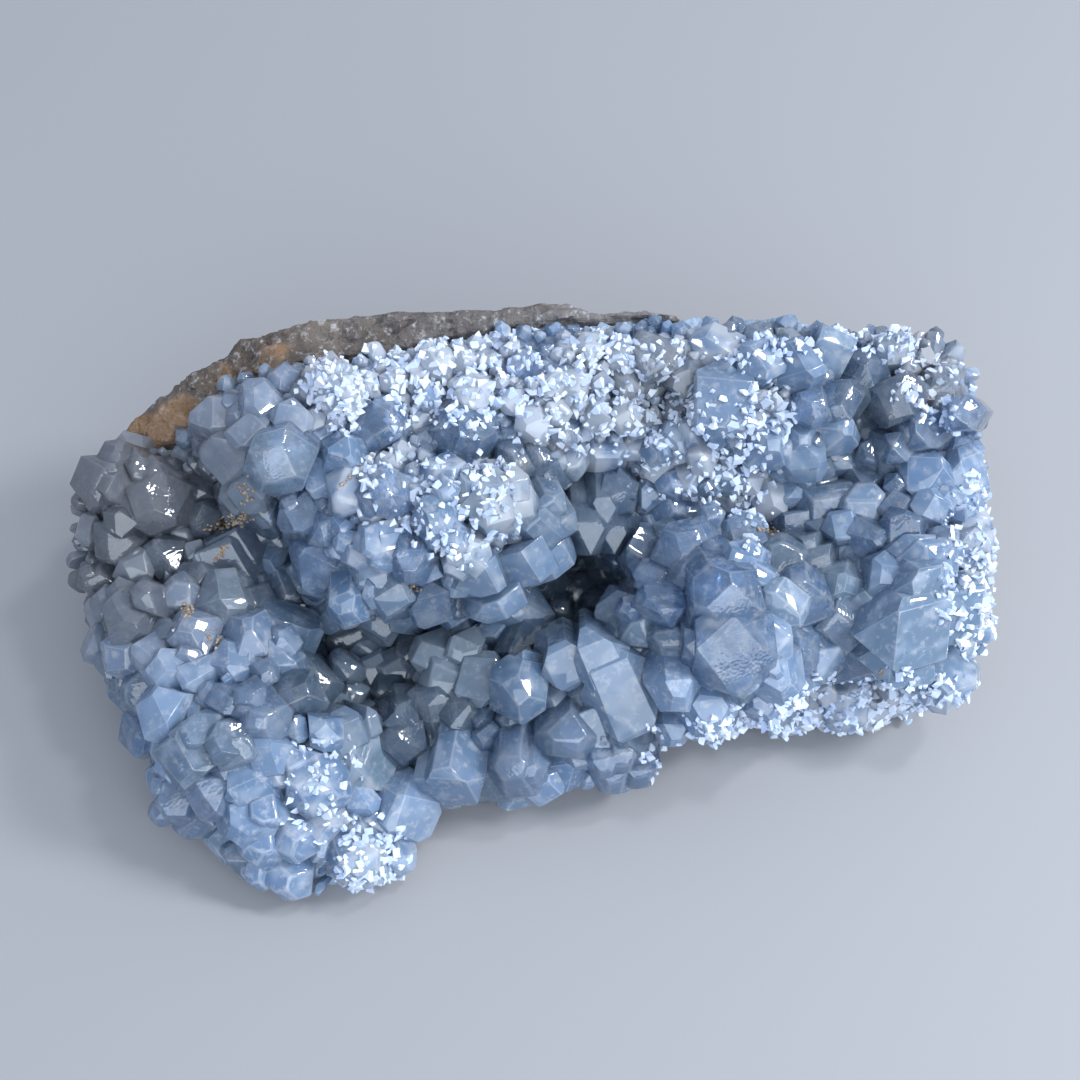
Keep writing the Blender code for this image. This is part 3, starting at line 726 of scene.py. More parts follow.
# Crystals too small for the solids, about one wide: ranges of thickness, reach and sharpness
BROAD_CUT = ((0.60, 1.00), (0.20, 0.50), (0.0, 0.6))
POINTED_CUT = ((0.40, 0.95), (0.35, 1.00), (0.5, 1.0))
SMALL_WORN = 0.04
# Splinters of sugar: ranges of width, thickness and length, and how their tips are broken
SPLINTER_CUT = ((0.6, 1.0), (0.45, 0.9), (0.9, 1.3))
SPLINTER_SHEAR = 0.3
SPLINTER_BREAKS = 3
BREAK_HEIGHT = (0.2, 0.42)
BREAK_RISE = (0.35, 1.0)


def small_crystal(cut, rng):
    """A crystal about one wide, to be strewn."""
    bm = crystal(1.0, *(rng.uniform(*span) for span in cut), rng)
    shape = as_arrays(bm, worn(bm, SMALL_WORN))
    bm.free()
    return shape


def splinter(rng):
    """A leaning prism of four sides with a broken tip."""
    bm = bmesh.new()
    size = Matrix.Diagonal((*(rng.uniform(*span) for span in SPLINTER_CUT), 1.0))
    shear = Matrix.Shear("XY", 4, (rng.uniform(-SPLINTER_SHEAR, SPLINTER_SHEAR),) * 2)
    bmesh.ops.create_cube(bm, size=1.0, matrix=shear @ size)
    for _ in range(SPLINTER_BREAKS):
        lean = Vector((rng.uniform(-1, 1), rng.uniform(-1, 1), rng.uniform(*BREAK_RISE)))
        slice_off(bm, Vector((0, 0, rng.uniform(*BREAK_HEIGHT))), lean.normalized())
    bmesh.ops.recalc_face_normals(bm, faces=bm.faces)
    shape = as_arrays(bm)
    bm.free()
    return shape


class Spacing:
    """Keeps points apart, by looking only at the cells round each."""

    def __init__(self, cell):
        self.cell = cell
        self.cells = {}

    def key(self, point):
        return tuple(math.floor(at / self.cell) for at in point)

    def free(self, point, room):
        x, y, z = self.key(point)
        for dx, dy, dz in product((-1, 0, 1), repeat=3):
            near = self.cells.get((x + dx, y + dy, z + dz), ())
            if any((point - other).length < room + held for other, held in near):
                return False
        return True

    def take(self, point, room):
        self.cells.setdefault(self.key(point), []).append((point.copy(), room))


# Shader maths


class Wire:
    """An output socket that Python's operators work on."""

    def __init__(self, finish, socket):
        self.finish = finish
        self.socket = socket

    def maths(self, operation, first, second):
        return self.finish.node("Math", {"operation": operation}, {0: first, 1: second})

    def __add__(self, other):
        return self.maths("ADD", self, other)

    def __radd__(self, other):
        return self.maths("ADD", other, self)

    def __mul__(self, other):
        return self.maths("MULTIPLY", self, other)

    def __rmul__(self, other):
        return self.maths("MULTIPLY", other, self)

    def __mod__(self, other):
        return self.maths("MODULO", self, other)

    def __rmod__(self, other):
        return self.maths("MODULO", other, self)


class Finish:
    """A material, or the room's light, and the one way in which its nodes are made."""

    def __init__(self, owner, output="OutputMaterial"):
        self.owner = owner
        owner.use_nodes = True
        self.tree = owner.node_tree
        self.tree.nodes.clear()
        self.output = self.tree.nodes.new("ShaderNode" + output)

    def node(self, kind, settings=None, inputs=None, output=0):
        """One node: its settings, the values or links of its sockets, and the output that counts."""
        made = self.tree.nodes.new("ShaderNode" + kind)
        for key, value in (settings or {}).items():
            if key == "stops":
                made.color_ramp.interpolation = "EASE"
                for element, (position, colour) in zip(made.color_ramp.elements, value):
                    element.position = position
                    element.color = (*colour, 1.0)
            else:
                setattr(made, key, value)
        for key, value in (inputs or {}).items():
            if isinstance(value, Wire):
                self.tree.links.new(value.socket, made.inputs[key])
            elif made.inputs[key].type == "RGBA":
                made.inputs[key].default_value = (*value, 1.0)
            else:
                made.inputs[key].default_value = value
        return Wire(self, made.outputs[output])

    def end(self, shader, socket="Surface"):
        self.tree.links.new(shader.socket, self.output.inputs[socket])

    def principled(self, sockets):
        """Ends in one Principled shader and gives back the material."""
        self.end(self.node("BsdfPrincipled", {}, sockets))
        return self.owner

    def place(self):
        return self.node("TexCoord", {}, {}, "Object")

    def mixed(self, share, first, second):
        """A colour between two, by a share."""
        settings = {"data_type": "RGBA", "clamp_factor": True}
        return self.node("Mix", settings, {0: share, 6: first, 7: second}, 2)

    def between(self, value, low, high, to_low=0.0, to_high=1.0):
        """A value's place between two limits, held at both ends."""
        inputs = {0: value, 1: low, 2: high, 3: to_low, 4: to_high}
        return self.node("MapRange", {"clamp": True, "interpolation_type": "SMOOTHSTEP"}, inputs)

    def read(self, *names):
        """Attributes of the mesh."""
        return [self.node("Attribute", {"attribute_name": name}, {}, "Fac") for name in names]

    def grain(self, place, scale, detail, roughness=0.6, stretch=None, distortion=0.0):
        """Cloudy noise at a place, finer with scale."""
        if stretch:
            place = self.node("Mapping", {}, {"Vector": place, "Scale": stretch})
        inputs = {"Vector": place, "Scale": scale, "Detail": detail, "Roughness": roughness}
        return self.node("TexNoise", {}, {**inputs, "Distortion": distortion})

    def bump(self, height, distance, strength, under=None):
        inputs = {"Height": height, "Distance": distance, "Strength": strength}
        if under:
            inputs["Normal"] = under
        return self.node("Bump", {}, inputs)


REFRACTION = 1.62
INSIDE_BLUE = (0.60, 0.78, 1.0)
DEEP_BLUE = (0.20, 0.35, 0.60)
PALE_BLUE = (0.36, 0.53, 0.80)
# Painted shade towards a crystal's root, where the crystals crowd
ROOT_SHADE_BLUE = (0.18, 0.30, 0.48)
CLOUD_BLUE = (0.58, 0.73, 0.95)
FROST_WHITE = (0.82, 0.89, 1.0)
GREY_GREEN = (0.30, 0.43, 0.54)
GREY_BROWN = (0.36, 0.34, 0.34)
# Painted shade colour, mixed in where the crystals lie in shade
PAINTED_SHADE_SLATE = (0.13, 0.18, 0.23)

# Noise on a crystal, per millimetre: its inner clouds, its wisps and the ripples along its faces
CLOUD_SCALE = 0.32
WISP_SCALE = 0.85
RIPPLE_STRETCH = (2.6, 2.6, 0.3)
RIPPLE_DEPTH = 0.00022
# Noise over the whole cluster, per metre: patches of frost
FROST_SCALE = 330.0
# Where each pattern starts and is full
CLOUDY = (0.45, 0.75)
WISPY = (0.50, 0.72)
FROSTY = (0.80, 1.10)
GREENISH = (0.6, 1.0)
ABOVE_ROOT = (0.2, 0.9)
# The most of each colour that shows
GREEN_SHARE = 0.7
CLOUD_SHARE = 0.8
WISP_SHARE = 0.6
# Painted highlight: pale rims on the worn edge flats, as if they catch the light
RIM_HIGHLIGHT_SHARE = 0.35
EARTH_SHARE = 0.75
# How far painted shade darkens a colour
PAINTED_SHADE_SHARE = 0.75


def crystal_finish(name, clearness, body, sheer, ripple=0.0, density=0.0):
    """Celestite: glassy where clear, with cloudy veils and frost; thin pale edges are painted highlight, and
    darker roots and shaded regions are painted shade.
    """
    f = Finish(bpy.data.materials.new(name))
    place = f.node("Attribute", {"attribute_name": "place"}, {}, "Vector")
    frost, gloom, earth, chance, rise, edge = f.read("frost", "gloom", "earth", "chance", "rise", "edge")
    deep, pale, root, cloud, white, green, brown, shade_slate = (
        tuple(body * part for part in colour) for colour in (
            DEEP_BLUE, PALE_BLUE, ROOT_SHADE_BLUE, CLOUD_BLUE, FROST_WHITE, GREY_GREEN, GREY_BROWN, PAINTED_SHADE_SLATE,
        )
    )
    clouded = f.between(f.grain(place, CLOUD_SCALE, 1.0), *CLOUDY)
    wisps = f.between(f.grain(place, WISP_SCALE, 2.0, 0.65), *WISPY)
    patches = f.grain(f.place(), FROST_SCALE, 1.0, 0.7)
    frosted = f.between(patches * 0.9 + frost * 0.62 + rise * 0.12, *FROSTY)
    colour = f.mixed(chance, deep, pale)
    # A second chance of its own for each crystal, from the digits of the first
    colour = f.mixed(f.between(chance * 7.31 % 1.0, *GREENISH) * GREEN_SHARE, colour, green)
    # Painted shade: darker towards the root
    colour = f.mixed(f.between(rise, *ABOVE_ROOT), root, colour)
    colour = f.mixed(clouded * CLOUD_SHARE, colour, cloud)
    colour = f.mixed(wisps * WISP_SHARE, colour, white)
    colour = f.mixed(frosted, colour, white)
    # Painted highlight: worn edge flats paler, as if they catch the light
    colour = f.mixed(edge * RIM_HIGHLIGHT_SHARE, colour, white)
    colour = f.mixed(earth * EARTH_SHARE, colour, brown)
    sockets = {
        # Painted shade: slate where the crystal lies in the shaded regions
        "Base Color": f.mixed(gloom * PAINTED_SHADE_SHARE, colour, shade_slate),
        "Roughness": clouded * 0.10 + frosted * 0.12 + sheer,
        "IOR": REFRACTION,
        "Transmission Weight": clearness,
    }
    if ripple:
        lines = f.grain(place, 1.0, 0.0, 0.6, RIPPLE_STRETCH)
        sockets["Normal"] = f.bump(lines, RIPPLE_DEPTH, ripple)
    if density:
        inside = f.node("VolumeAbsorption", {}, {"Color": INSIDE_BLUE, "Density": density})
        f.end(inside, "Volume")
    return f.principled(sockets)


ICE_DIM = (0.60, 0.72, 0.95)
ICE_BRIGHT = (0.80, 0.88, 1.0)
ICE_BLUE = (0.45, 0.58, 0.84)
ICE_CLEARNESS = 0.22


def sugar_finish():
    """Fine icy grains, white with a little blue, each with a tone of its own, and painted shade in the shaded
    regions.
    """
    f = Finish(bpy.data.materials.new("sugary_celestite"))
    gloom, earth, chance = f.read("gloom", "earth", "chance")
    patches = f.between(f.grain(f.place(), 160.0, 1.0), 0.50, 0.68)
    colour = f.mixed(f.between(chance, 0.0, 0.7), ICE_DIM, ICE_BRIGHT)
    colour = f.mixed(patches * 0.5, colour, ICE_BLUE)
    colour = f.mixed(earth * 0.6, colour, GREY_BROWN)
    return f.principled({
        # Painted shade: slate where the grains lie in the shaded regions
        "Base Color": f.mixed(gloom * PAINTED_SHADE_SHARE, colour, PAINTED_SHADE_SLATE),
        "Roughness": f.between(chance, 0.0, 1.0, 0.03, 0.12),
        "IOR": REFRACTION,
        "Transmission Weight": ICE_CLEARNESS,
    })


BED_DARK = (0.14, 0.20, 0.28)
BED_PALE = (0.34, 0.44, 0.60)
BED_FROST = (0.55, 0.64, 0.80)
BED_DUSTY = (0.14, 0.13, 0.12)
# Painted shade colour for the hollows
BED_PAINTED_SHADE = (0.05, 0.065, 0.08)


def bed_finish():
    """The massive celestite under the crystals: blue-grey and granular, with painted shade that darkens it in
    the hollows.
    """
    f = Finish(bpy.data.materials.new("celestite_bed"))
    place = f.place()
    frost, gloom, earth = f.read("frost", "gloom", "earth")
    fine = f.grain(place, 1400.0, 4.0, 0.7)
    colour = f.mixed(f.between(f.grain(place, 170.0, 5.0), 0.35, 0.68), BED_DARK, BED_PALE)
    colour = f.mixed(frost * 0.7, colour, BED_FROST)
    colour = f.mixed(earth * 0.8, colour, BED_DUSTY)
    return f.principled({
        # Painted shade: darker in the shaded regions
        "Base Color": f.mixed(gloom * 0.8, colour, BED_PAINTED_SHADE),
        "Roughness": f.between(fine, 0.4, 0.7, 0.15, 0.5),
        "IOR": REFRACTION,
        "Normal": f.bump(fine, 0.0004, 0.6),
    })


ROCK_GREY = ((0.105, 0.095, 0.092), (0.185, 0.175, 0.175))
ROCK_BROWN = ((0.064, 0.047, 0.036), (0.130, 0.104, 0.084))
ROCK_STREAK = (0.075, 0.06, 0.05)
ROCK_GRIT = (0.42, 0.415, 0.42)
ROCK_SPECK = (0.04, 0.033, 0.03)
ROCK_RUST = (0.30, 0.165, 0.075)
# From here to the middle, in metres along X, the rock turns from brown to grey
BROWN_UP_TO = -0.040


def rind_finish():
    """Grey-brown host rock, pitted and streaked, with rusty patches."""
    f = Finish(bpy.data.materials.new("grey_brown_rock_rough"))
    place = f.place()
    broad = f.between(f.grain(place, 55.0, 5.0), 0.35, 0.65)
    streak = f.grain(place, 190.0, 5.0, 0.65, (0.45, 1.0, 1.6), 0.6)
    grit = f.grain(place, 900.0, 5.0, 0.7)
    speck = f.grain(place, 2400.0, 2.0, 0.5)
    rust = f.between(f.read("rust")[0] * 0.75 + f.grain(place, 240.0, 4.0), 0.92, 1.25)
    browner = f.between(f.node("SeparateXYZ", {}, {0: place}), BROWN_UP_TO, 0.0, 1.0, 0.0)
    colour = f.mixed(browner, f.mixed(broad, *ROCK_GREY), f.mixed(broad, *ROCK_BROWN))
    colour = f.mixed(f.between(streak, 0.50, 0.72), colour, ROCK_STREAK)
    colour = f.mixed(f.between(grit, 0.52, 0.70) * 0.7, colour, ROCK_GRIT)
    colour = f.mixed(f.between(speck, 0.60, 0.72) * 0.5, colour, ROCK_SPECK)
    return f.principled({
        "Base Color": f.mixed(rust * 0.6, colour, ROCK_RUST),
        "Roughness": f.between(grit, 0.3, 0.7, 0.95, 0.62),
        "Normal": f.bump(grit * 0.7 + speck * 0.3, 0.0005, 0.8, f.bump(streak, 0.0012, 0.7)),
    })


DUST_BROWN = (0.22, 0.14, 0.08)
DUST_OCHRE = (0.42, 0.35, 0.27)


def dust_finish():
    """Ochre dust that lies among the crystals."""
    f = Finish(bpy.data.materials.new("ochre_dust"))
    grit = f.grain(f.place(), 1800.0, 4.0)
    return f.principled({
        "Base Color": f.mixed(f.between(grit, 0.35, 0.65), DUST_BROWN, DUST_OCHRE),
        "Roughness": 0.9,
        "Normal": f.bump(grit, 0.0003, 0.8),
    })


FLOOR_DIM = (0.275, 0.28, 0.295)
FLOOR_PALE = (0.29, 0.295, 0.31)


def floor_finish():
    """A plain pale floor."""
    f = Finish(bpy.data.materials.new("pale_floor"))
    colour = f.mixed(f.grain(f.place(), 6.0, 2.0), FLOOR_DIM, FLOOR_PALE)
    return f.principled({"Base Color": colour, "Roughness": 0.6})


def dressed(obj, material, slot, *nodes):
    """Gives a finished piece its material and its body, and hides the solids that it stands for; the slot is
    not used.
    """
    obj.data.materials.clear()
    obj.data.materials.append(material)
    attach(obj, BODY)
    if nodes:
        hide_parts(*nodes)


# Rind and bed


def solid_mesh(name):
    """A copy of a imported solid's mesh in millimetres, its doubles merged."""
    bm = bmesh.new()
    bm.from_mesh(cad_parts[name].data)
    bmesh.ops.scale(bm, vec=(1 / MM, 1 / MM, 1 / MM), verts=bm.verts)
    bmesh.ops.remove_doubles(bm, verts=bm.verts, dist=CUT_TOLERANCE)
    bmesh.ops.triangulate(bm, faces=bm.faces)
    bm.normal_update()
    return bm


def pushed_out(bm, rise_at, foot):
    """Moves each point above the foot out by its rise, and leaves none under the floor."""
    bm.normal_update()
    steps = [vert.normal * rise_at(vert.co) for vert in bm.verts]
    for vert, step in zip(bm.verts, steps):
        if vert.co.z > foot:
            vert.co += step
        vert.co.z = max(vert.co.z, 0.0)
    return bm


RIND_VOXEL = 0.55
RIND_FOOT = 0.4
RIND_LUMP_SIZE = 3.2
RIND_LUMP_RISE = 0.55
RIND_PIT_SIZE = (2.4, 1.3, 1.3)
RIND_PIT_START = 0.15
RIND_PIT_DEPTH = 0.9
RIND_RISE_LIMIT = 0.5
RUSTY = regions(
    (-51, 21.5, 5, 3, 30, 1.0),
    (-46, 24, 4, 3, 30, 0.9),
    (-36, 31, 6, 3, 25, 0.7),
    (-56, 17, 2.5, 3, 0, 0.9),
    (50, 33, 4, 3, 0, 0.6),
)


def rind_rise(at):
    lumps = noise.fractal(at / RIND_LUMP_SIZE, 0.9, 2.1, 5)
    pits = noise.fractal(Vector([part / size for part, size in zip(at, RIND_PIT_SIZE)]), 1.0, 2.0, 3)
    rise = RIND_LUMP_RISE * lumps - RIND_PIT_DEPTH * max(0.0, pits - RIND_PIT_START)
    return min(rise, RIND_RISE_LIMIT)


def rough_rind():
    """The rind: the solid's own shape, broken up by pits, ledges and grit."""
    solid = finished_object("rind_solid", solid_mesh("rock_rind"))
    add_remesh(solid, RIND_VOXEL)
    bm = evaluated_bmesh(solid)
    discard(solid)
    obj = finished_object("rough_rind", pushed_out(bm, rind_rise, RIND_FOOT))
    store_regions(obj.data, rust=RUSTY)
    return obj


BED_VOXEL = 0.9
BED_UNDERSIDE = 0.05
BED_FOOT = 0.6
BED_LUMP_SIZE = 2.2
BED_LUMP_RISE = 0.5
BED_RISE_LIMIT = 0.4


def bed_rise(at):
    return min(BED_LUMP_RISE * noise.fractal(at / BED_LUMP_SIZE, 0.8, 2.0, 4), BED_RISE_LIMIT)


def crystal_bed(mass):
    """The massive celestite that the crystals stand in."""
    grown = mass.copy()
    slice_off(grown, Vector((0, 0, BED_UNDERSIDE)), (0, 0, -1))
    heart = finished_object("bed_heart", grown)
    bowl = parting_bowl("bowl", -GAP)
    add_boolean(heart, bowl, "INTERSECT")
    add_remesh(heart, BED_VOXEL)
    bm = evaluated_bmesh(heart)
    discard(heart, bowl)
    obj = finished_object("celestite_bed", pushed_out(bm, bed_rise, BED_FOOT))
    store_regions(obj.data, frost=SUGAR, gloom=PAINTED_SHADE_REGIONS, earth=EARTH)
    return obj


# Large crystals

LARGE_WORN = 0.25
# Below the upper edge the solids' crystals have room to be a little larger
UPPER_EDGE = 34.0
LARGE_WIDER = 1.10
LARGE_THICKER = 1.14
ABOVE_FLOOR = 0.02
PATTERN_SHIFT = 50.0
# Shares of hazy crystals, to start with and where it is milky or sugary
LARGE_HAZY = (0.25, 0.7)
SMALL_HAZY = (0.35, 0.6)
LARGE_FROST = 0.7
MILK_FROST = 0.35
# Parallel crystals that step up a large one's sides: shares of its width, thickness and reach,
# how far they stand aside, and their tilt in radians
STEP_SEED = 5
STEP_COUNT = (1, 3)
STEP_WIDTH = (0.50, 0.85)
STEP_THICKNESS = (0.5, 0.9)
STEP_REACH = (0.70, 0.99)
STEP_ASIDE = 0.5
STEP_TILT = 0.06


def random_shift(rng):
    return [rng.uniform(-PATTERN_SHIFT, PATTERN_SHIFT) for _ in range(3)]


def lay_crystal(bm, place, clump, values, shift):
    """Cuts a crystal off at the floor, wears its edges and adds it to a clump."""
    if min((place @ vert.co).z for vert in bm.verts) < ABOVE_FLOOR:
        bm.transform(place)
        slice_off(bm, Vector((0, 0, ABOVE_FLOOR)), (0, 0, -1))
        bm.transform(place.inverted())
    clump.add(as_arrays(bm, worn(bm, LARGE_WORN)), place, values, shift)
    bm.free()


def grow_large(rows, rng, clear, hazy):
    """The crystals of the solids, each with a few parallel crystals that step up its sides."""
    own = random.Random(STEP_SEED)
    for point, along, width, thickness, reach, turn, sharpness in rows:
        roomy = point.z < UPPER_EDGE
        if roomy:
            width, thickness = LARGE_WIDER * width, LARGE_THICKER * thickness
        grown = crystal(width, thickness, reach, sharpness, rng)
        place = standing(point, along, turn)
        milk, sugar = strength_at(MILK, point), sugar_at(point)
        clump = hazy if own.random() < LARGE_HAZY[0] + LARGE_HAZY[1] * max(milk, sugar) else clear
        frost = max(LARGE_FROST * sugar, MILK_FROST * milk)
        # Painted shade: how far the crystal lies in the shaded regions
        values = (frost, strength_at(PAINTED_SHADE_REGIONS, point), strength_at(EARTH, point), own.random())
        shift = random_shift(own)
        lay_crystal(grown, place, clump, values, shift)
        for _ in range(own.randint(*STEP_COUNT) if roomy else 0):
            step_width = own.uniform(*STEP_WIDTH) * width
            side = own.uniform(-STEP_ASIDE, STEP_ASIDE) * width
            front = own.uniform(-STEP_ASIDE, STEP_ASIDE) * thickness
            step_reach = own.uniform(*STEP_REACH) * reach
            step_thickness = own.uniform(*STEP_THICKNESS) * thickness
            step = crystal(step_width, step_thickness, step_reach, sharpness, own)
            aside = Matrix.Translation((side, front, 0))
            tilt = Matrix.Rotation(own.gauss(0, STEP_TILT), 4, "X")
            lay_crystal(step, place @ aside @ tilt, clump, values, shift)


# Small crystals

SMALL_SEED = 21
SMALL_SHAPES = 40
SMALL_LOWEST = 0.7
TOP_LIMIT = 42.8
PLACED_ROOM = 0.36

# Sizes, share of the size kept free, lean, distance from the rind and most lift, then how many
# of the tries stand, what sugar and coarse regions add to that, and how far out along X
Layer = namedtuple("Layer", "cut sizes tries room lean off_rind lift share in_sugar in_coarse ends")
LAYERS = (
    Layer(BROAD_CUT, (6.0, 10.0), 8000, 0.23, 0.40, 5.5, 1.6, 1.0, -1.1, 0.0, 55.0),
    Layer(BROAD_CUT, (3.6, 6.0), 14000, 0.25, 0.45, 4.0, 1.5, 0.95, -0.4, -0.75, 57.0),
    Layer(POINTED_CUT, (1.6, 3.4), 26000, 0.27, 0.60, 1.0, 0.8, 0.40, 0.75, -0.40, 100.0),
)


def grow_small(ground, taken, rng, clear, hazy):
    """Layer by layer, smaller crystals between the larger ones."""
    for layer in LAYERS:
        shapes = [small_crystal(layer.cut, rng) for _ in range(SMALL_SHAPES)]
        spacing = Spacing(2.0 * layer.room * LAYERS[0].sizes[1])
        for point, room in taken:
            spacing.take(point, min(room, spacing.cell / 2))
        for point, normal in sown(ground, layer.tries, rng):
            pick, chance = rng.random(), rng.random()
            size = rng.uniform(*layer.sizes)
            lean = random_lean(rng, layer.lean)
            turn = rng.uniform(0, 180)
            shape = rng.choice(shapes)
            shift = random_shift(rng)
            if point.z < SMALL_LOWEST or not inside_bowl(point, layer.off_rind):
                continue
            sugar, coarse = sugar_at(point), strength_at(COARSE, point)
            share = layer.share + layer.in_sugar * sugar + layer.in_coarse * coarse
            room = layer.room * size
            if pick >= share or abs(point.x) >= layer.ends or not spacing.free(point, room):
                continue
            raised = point + normal * layer.lift * chance
            place = standing(raised, (normal + lean).normalized(), turn) @ Matrix.Scale(size, 4)
            heights = (shape[0] @ np.array(place.to_3x3()).T)[:, 2] + raised.z
            if heights.min() < ABOVE_FLOOR or heights.max() > TOP_LIMIT:
                continue
            spacing.take(point, room)
            taken.append((point, room))
            milk = strength_at(MILK, point)
            clump = hazy if rng.random() < SMALL_HAZY[0] + SMALL_HAZY[1] * max(milk, sugar) else clear
            frost = max(sugar, MILK_FROST * milk)
            # Painted shade: how far the crystal lies in the shaded regions
            values = (frost, strength_at(PAINTED_SHADE_REGIONS, point), strength_at(EARTH, point), rng.random())
            clump.add(shape, place, values, shift)


# Sugar and dust

GRAIN_SHAPES = 40
GRAIN_SIZE = (0.55, 1.5)
GRAIN_TRIES = 150000
GRAIN_ROOM = 0.25
GRAIN_LEAN = 0.9
GRAIN_LIFT = 0.25
GRAIN_LOWEST = 1.2
GRAIN_OFF_RIND = 0.6
# Share of the size with no sugar, and what full sugar adds
GRAIN_GROWTH = (0.55, 0.45)
# Share of the tries that stand, per strength of the sugar, and what is taken off it
GRAIN_SHARE = (1.6, 0.55)
# How much of the painted shade the grains take
GRAIN_PAINTED_SHADE = 0.5
GRAIN_EARTH = 0.6
# How far a grain has to see past its neighbours, and from how far above its face
EXPOSED = 1.6
CLEAR_OF_FACE = 0.05


class Surface:
    """All that stands so far: its triangles, to sow on, and a tree, to tell what is buried."""

    def __init__(self, clumps, ground):
        points = [np.array([vert.co[:] for vert in ground.verts])]
        faces = [[vert.index for vert in face.verts] for face in ground.faces]
        count = len(points[0])
        for clump in clumps:
            points += clump.points
            corners = np.concatenate(clump.corners) + count
            sizes = np.concatenate(clump.sizes)
            for end, size in zip(np.cumsum(sizes), sizes):
                faces.append(corners[end - size:end].tolist())
            count += clump.count
        self.points = np.concatenate(points)
        self.tree = BVHTree.FromPolygons(self.points.tolist(), faces)
        self.triangles = np.array([
            (face[0], face[at], face[at + 1]) for face in faces for at in range(1, len(face) - 1)
        ])
        first, second, third = (self.points[self.triangles[:, at]] for at in range(3))
        self.normals = np.cross(second - first, third - first)
        self.areas = np.linalg.norm(self.normals, axis=1)

    def sown(self, tries, rng):
        """Random points on the triangles, each with its face's normal."""
        for index in rng.choices(range(len(self.areas)), self.areas.tolist(), k=tries):
            corners = (Vector(self.points[at]) for at in self.triangles[index])
            yield point_between(*corners, rng), Vector(self.normals[index]).normalized()

    def exposed(self, point, normal):
        return self.tree.ray_cast(point + normal * CLEAR_OF_FACE, normal, EXPOSED)[0] is None


def grow_sugar(surface, rng, grains):
    """Fine splinters where the crystals are sugary, on whatever stands there."""
    shapes = [splinter(rng) for _ in range(GRAIN_SHAPES)]
    spacing = Spacing(2.0 * GRAIN_ROOM * GRAIN_SIZE[1])
    for point, normal in surface.sown(GRAIN_TRIES, rng):
        pick = rng.random()
        size = rng.uniform(*GRAIN_SIZE)
        lean = random_lean(rng, GRAIN_LEAN)
        turn = rng.uniform(0, 180)
        shape = rng.choice(shapes)
        if point.z < GRAIN_LOWEST or not inside_bowl(point, GRAIN_OFF_RIND):
            continue
        sugar = sugar_at(point)
        size *= GRAIN_GROWTH[0] + GRAIN_GROWTH[1] * sugar
        if pick > GRAIN_SHARE[0] * sugar - GRAIN_SHARE[1] or not spacing.free(point, GRAIN_ROOM * size):
            continue
        if not surface.exposed(point, normal):
            continue
        spacing.take(point, GRAIN_ROOM * size)
        raised = point + normal * rng.uniform(0.0, GRAIN_LIFT)
        place = standing(raised, (normal + lean).normalized(), turn) @ Matrix.Scale(size, 4)
        # Painted shade on the grains, weaker than on the crystals
        gloom, earth = GRAIN_PAINTED_SHADE * strength_at(PAINTED_SHADE_REGIONS, point), GRAIN_EARTH * strength_at(EARTH, point)
        grains.add(shape, place, (sugar, gloom, earth, rng.random()), random_shift(rng))


DUST = (
    # u, v, reach along, reach across, turn, grains
    (-39.0, 10.8, 3.0, 0.8, 12, 70),
    (-40.3, 6.8, 1.4, 0.4, 40, 24),
    (-44.6, -0.6, 0.8, 1.0, 0, 30),
    (-23.0, 17.0, 3.4, 0.4, 45, 26),
    (-15.0, 2.0, 0.7, 0.5, 0, 10),
    (31.0, 9.8, 1.5, 0.6, 0, 22),
    (45.5, -8.8, 0.4, 0.3, 0, 5),
    (-37.0, 14.5, 0.8, 2.0, 0, 24),
    (-41.0, -4.0, 1.2, 1.8, 30, 16),
)
DUST_SEED = 31
DUST_SHAPES = 12
DUST_SIZE = (0.2, 0.55)
DUST_SPREAD = 0.5


def settle_dust(surface, rng, dust):
    """Ochre grains in the gaps where the viewer sees them."""
    shapes = [splinter(rng) for _ in range(DUST_SHAPES)]
    for u, v, along, across, turn, count in DUST:
        cosine, sine = math.cos(math.radians(turn)), math.sin(math.radians(turn))
        for _ in range(count):
            far, aside = rng.gauss(0, DUST_SPREAD) * along, rng.gauss(0, DUST_SPREAD) * across
            size = rng.uniform(*DUST_SIZE)
            seen_u, seen_v = u + far * cosine - aside * sine, v + far * sine + aside * cosine
            point = seen_point(surface.tree, seen_u, seen_v)
            if point is None:
                continue
            place = standing(point, random_lean(rng, 1.0).normalized(), 0) @ Matrix.Scale(size, 4)
            shape = shapes[rng.randrange(DUST_SHAPES)]
            dust.add(shape, place, (0.0, 0.0, 1.0, rng.random()), random_shift(rng))


# The cluster


def placed_rows(mass, rng):
    """Every large crystal's point, direction, width, thickness, reach, turn and sharpness."""
    tree = BVHTree.FromBMesh(mass)
    rows = []
    for u, v, width, thickness, reach, lean_u, lean_v, turn, sharpness in PLACED_CRYSTALS:
        point = seen_point(tree, u, v)
        if point is not None:
            along = sight_vector(lean_u, lean_v, 1)
            rows.append((point, along, width, thickness, reach, turn, sharpness))
    return rows + fill_crystals(mass, [(row[0], row[2]) for row in rows], rng)


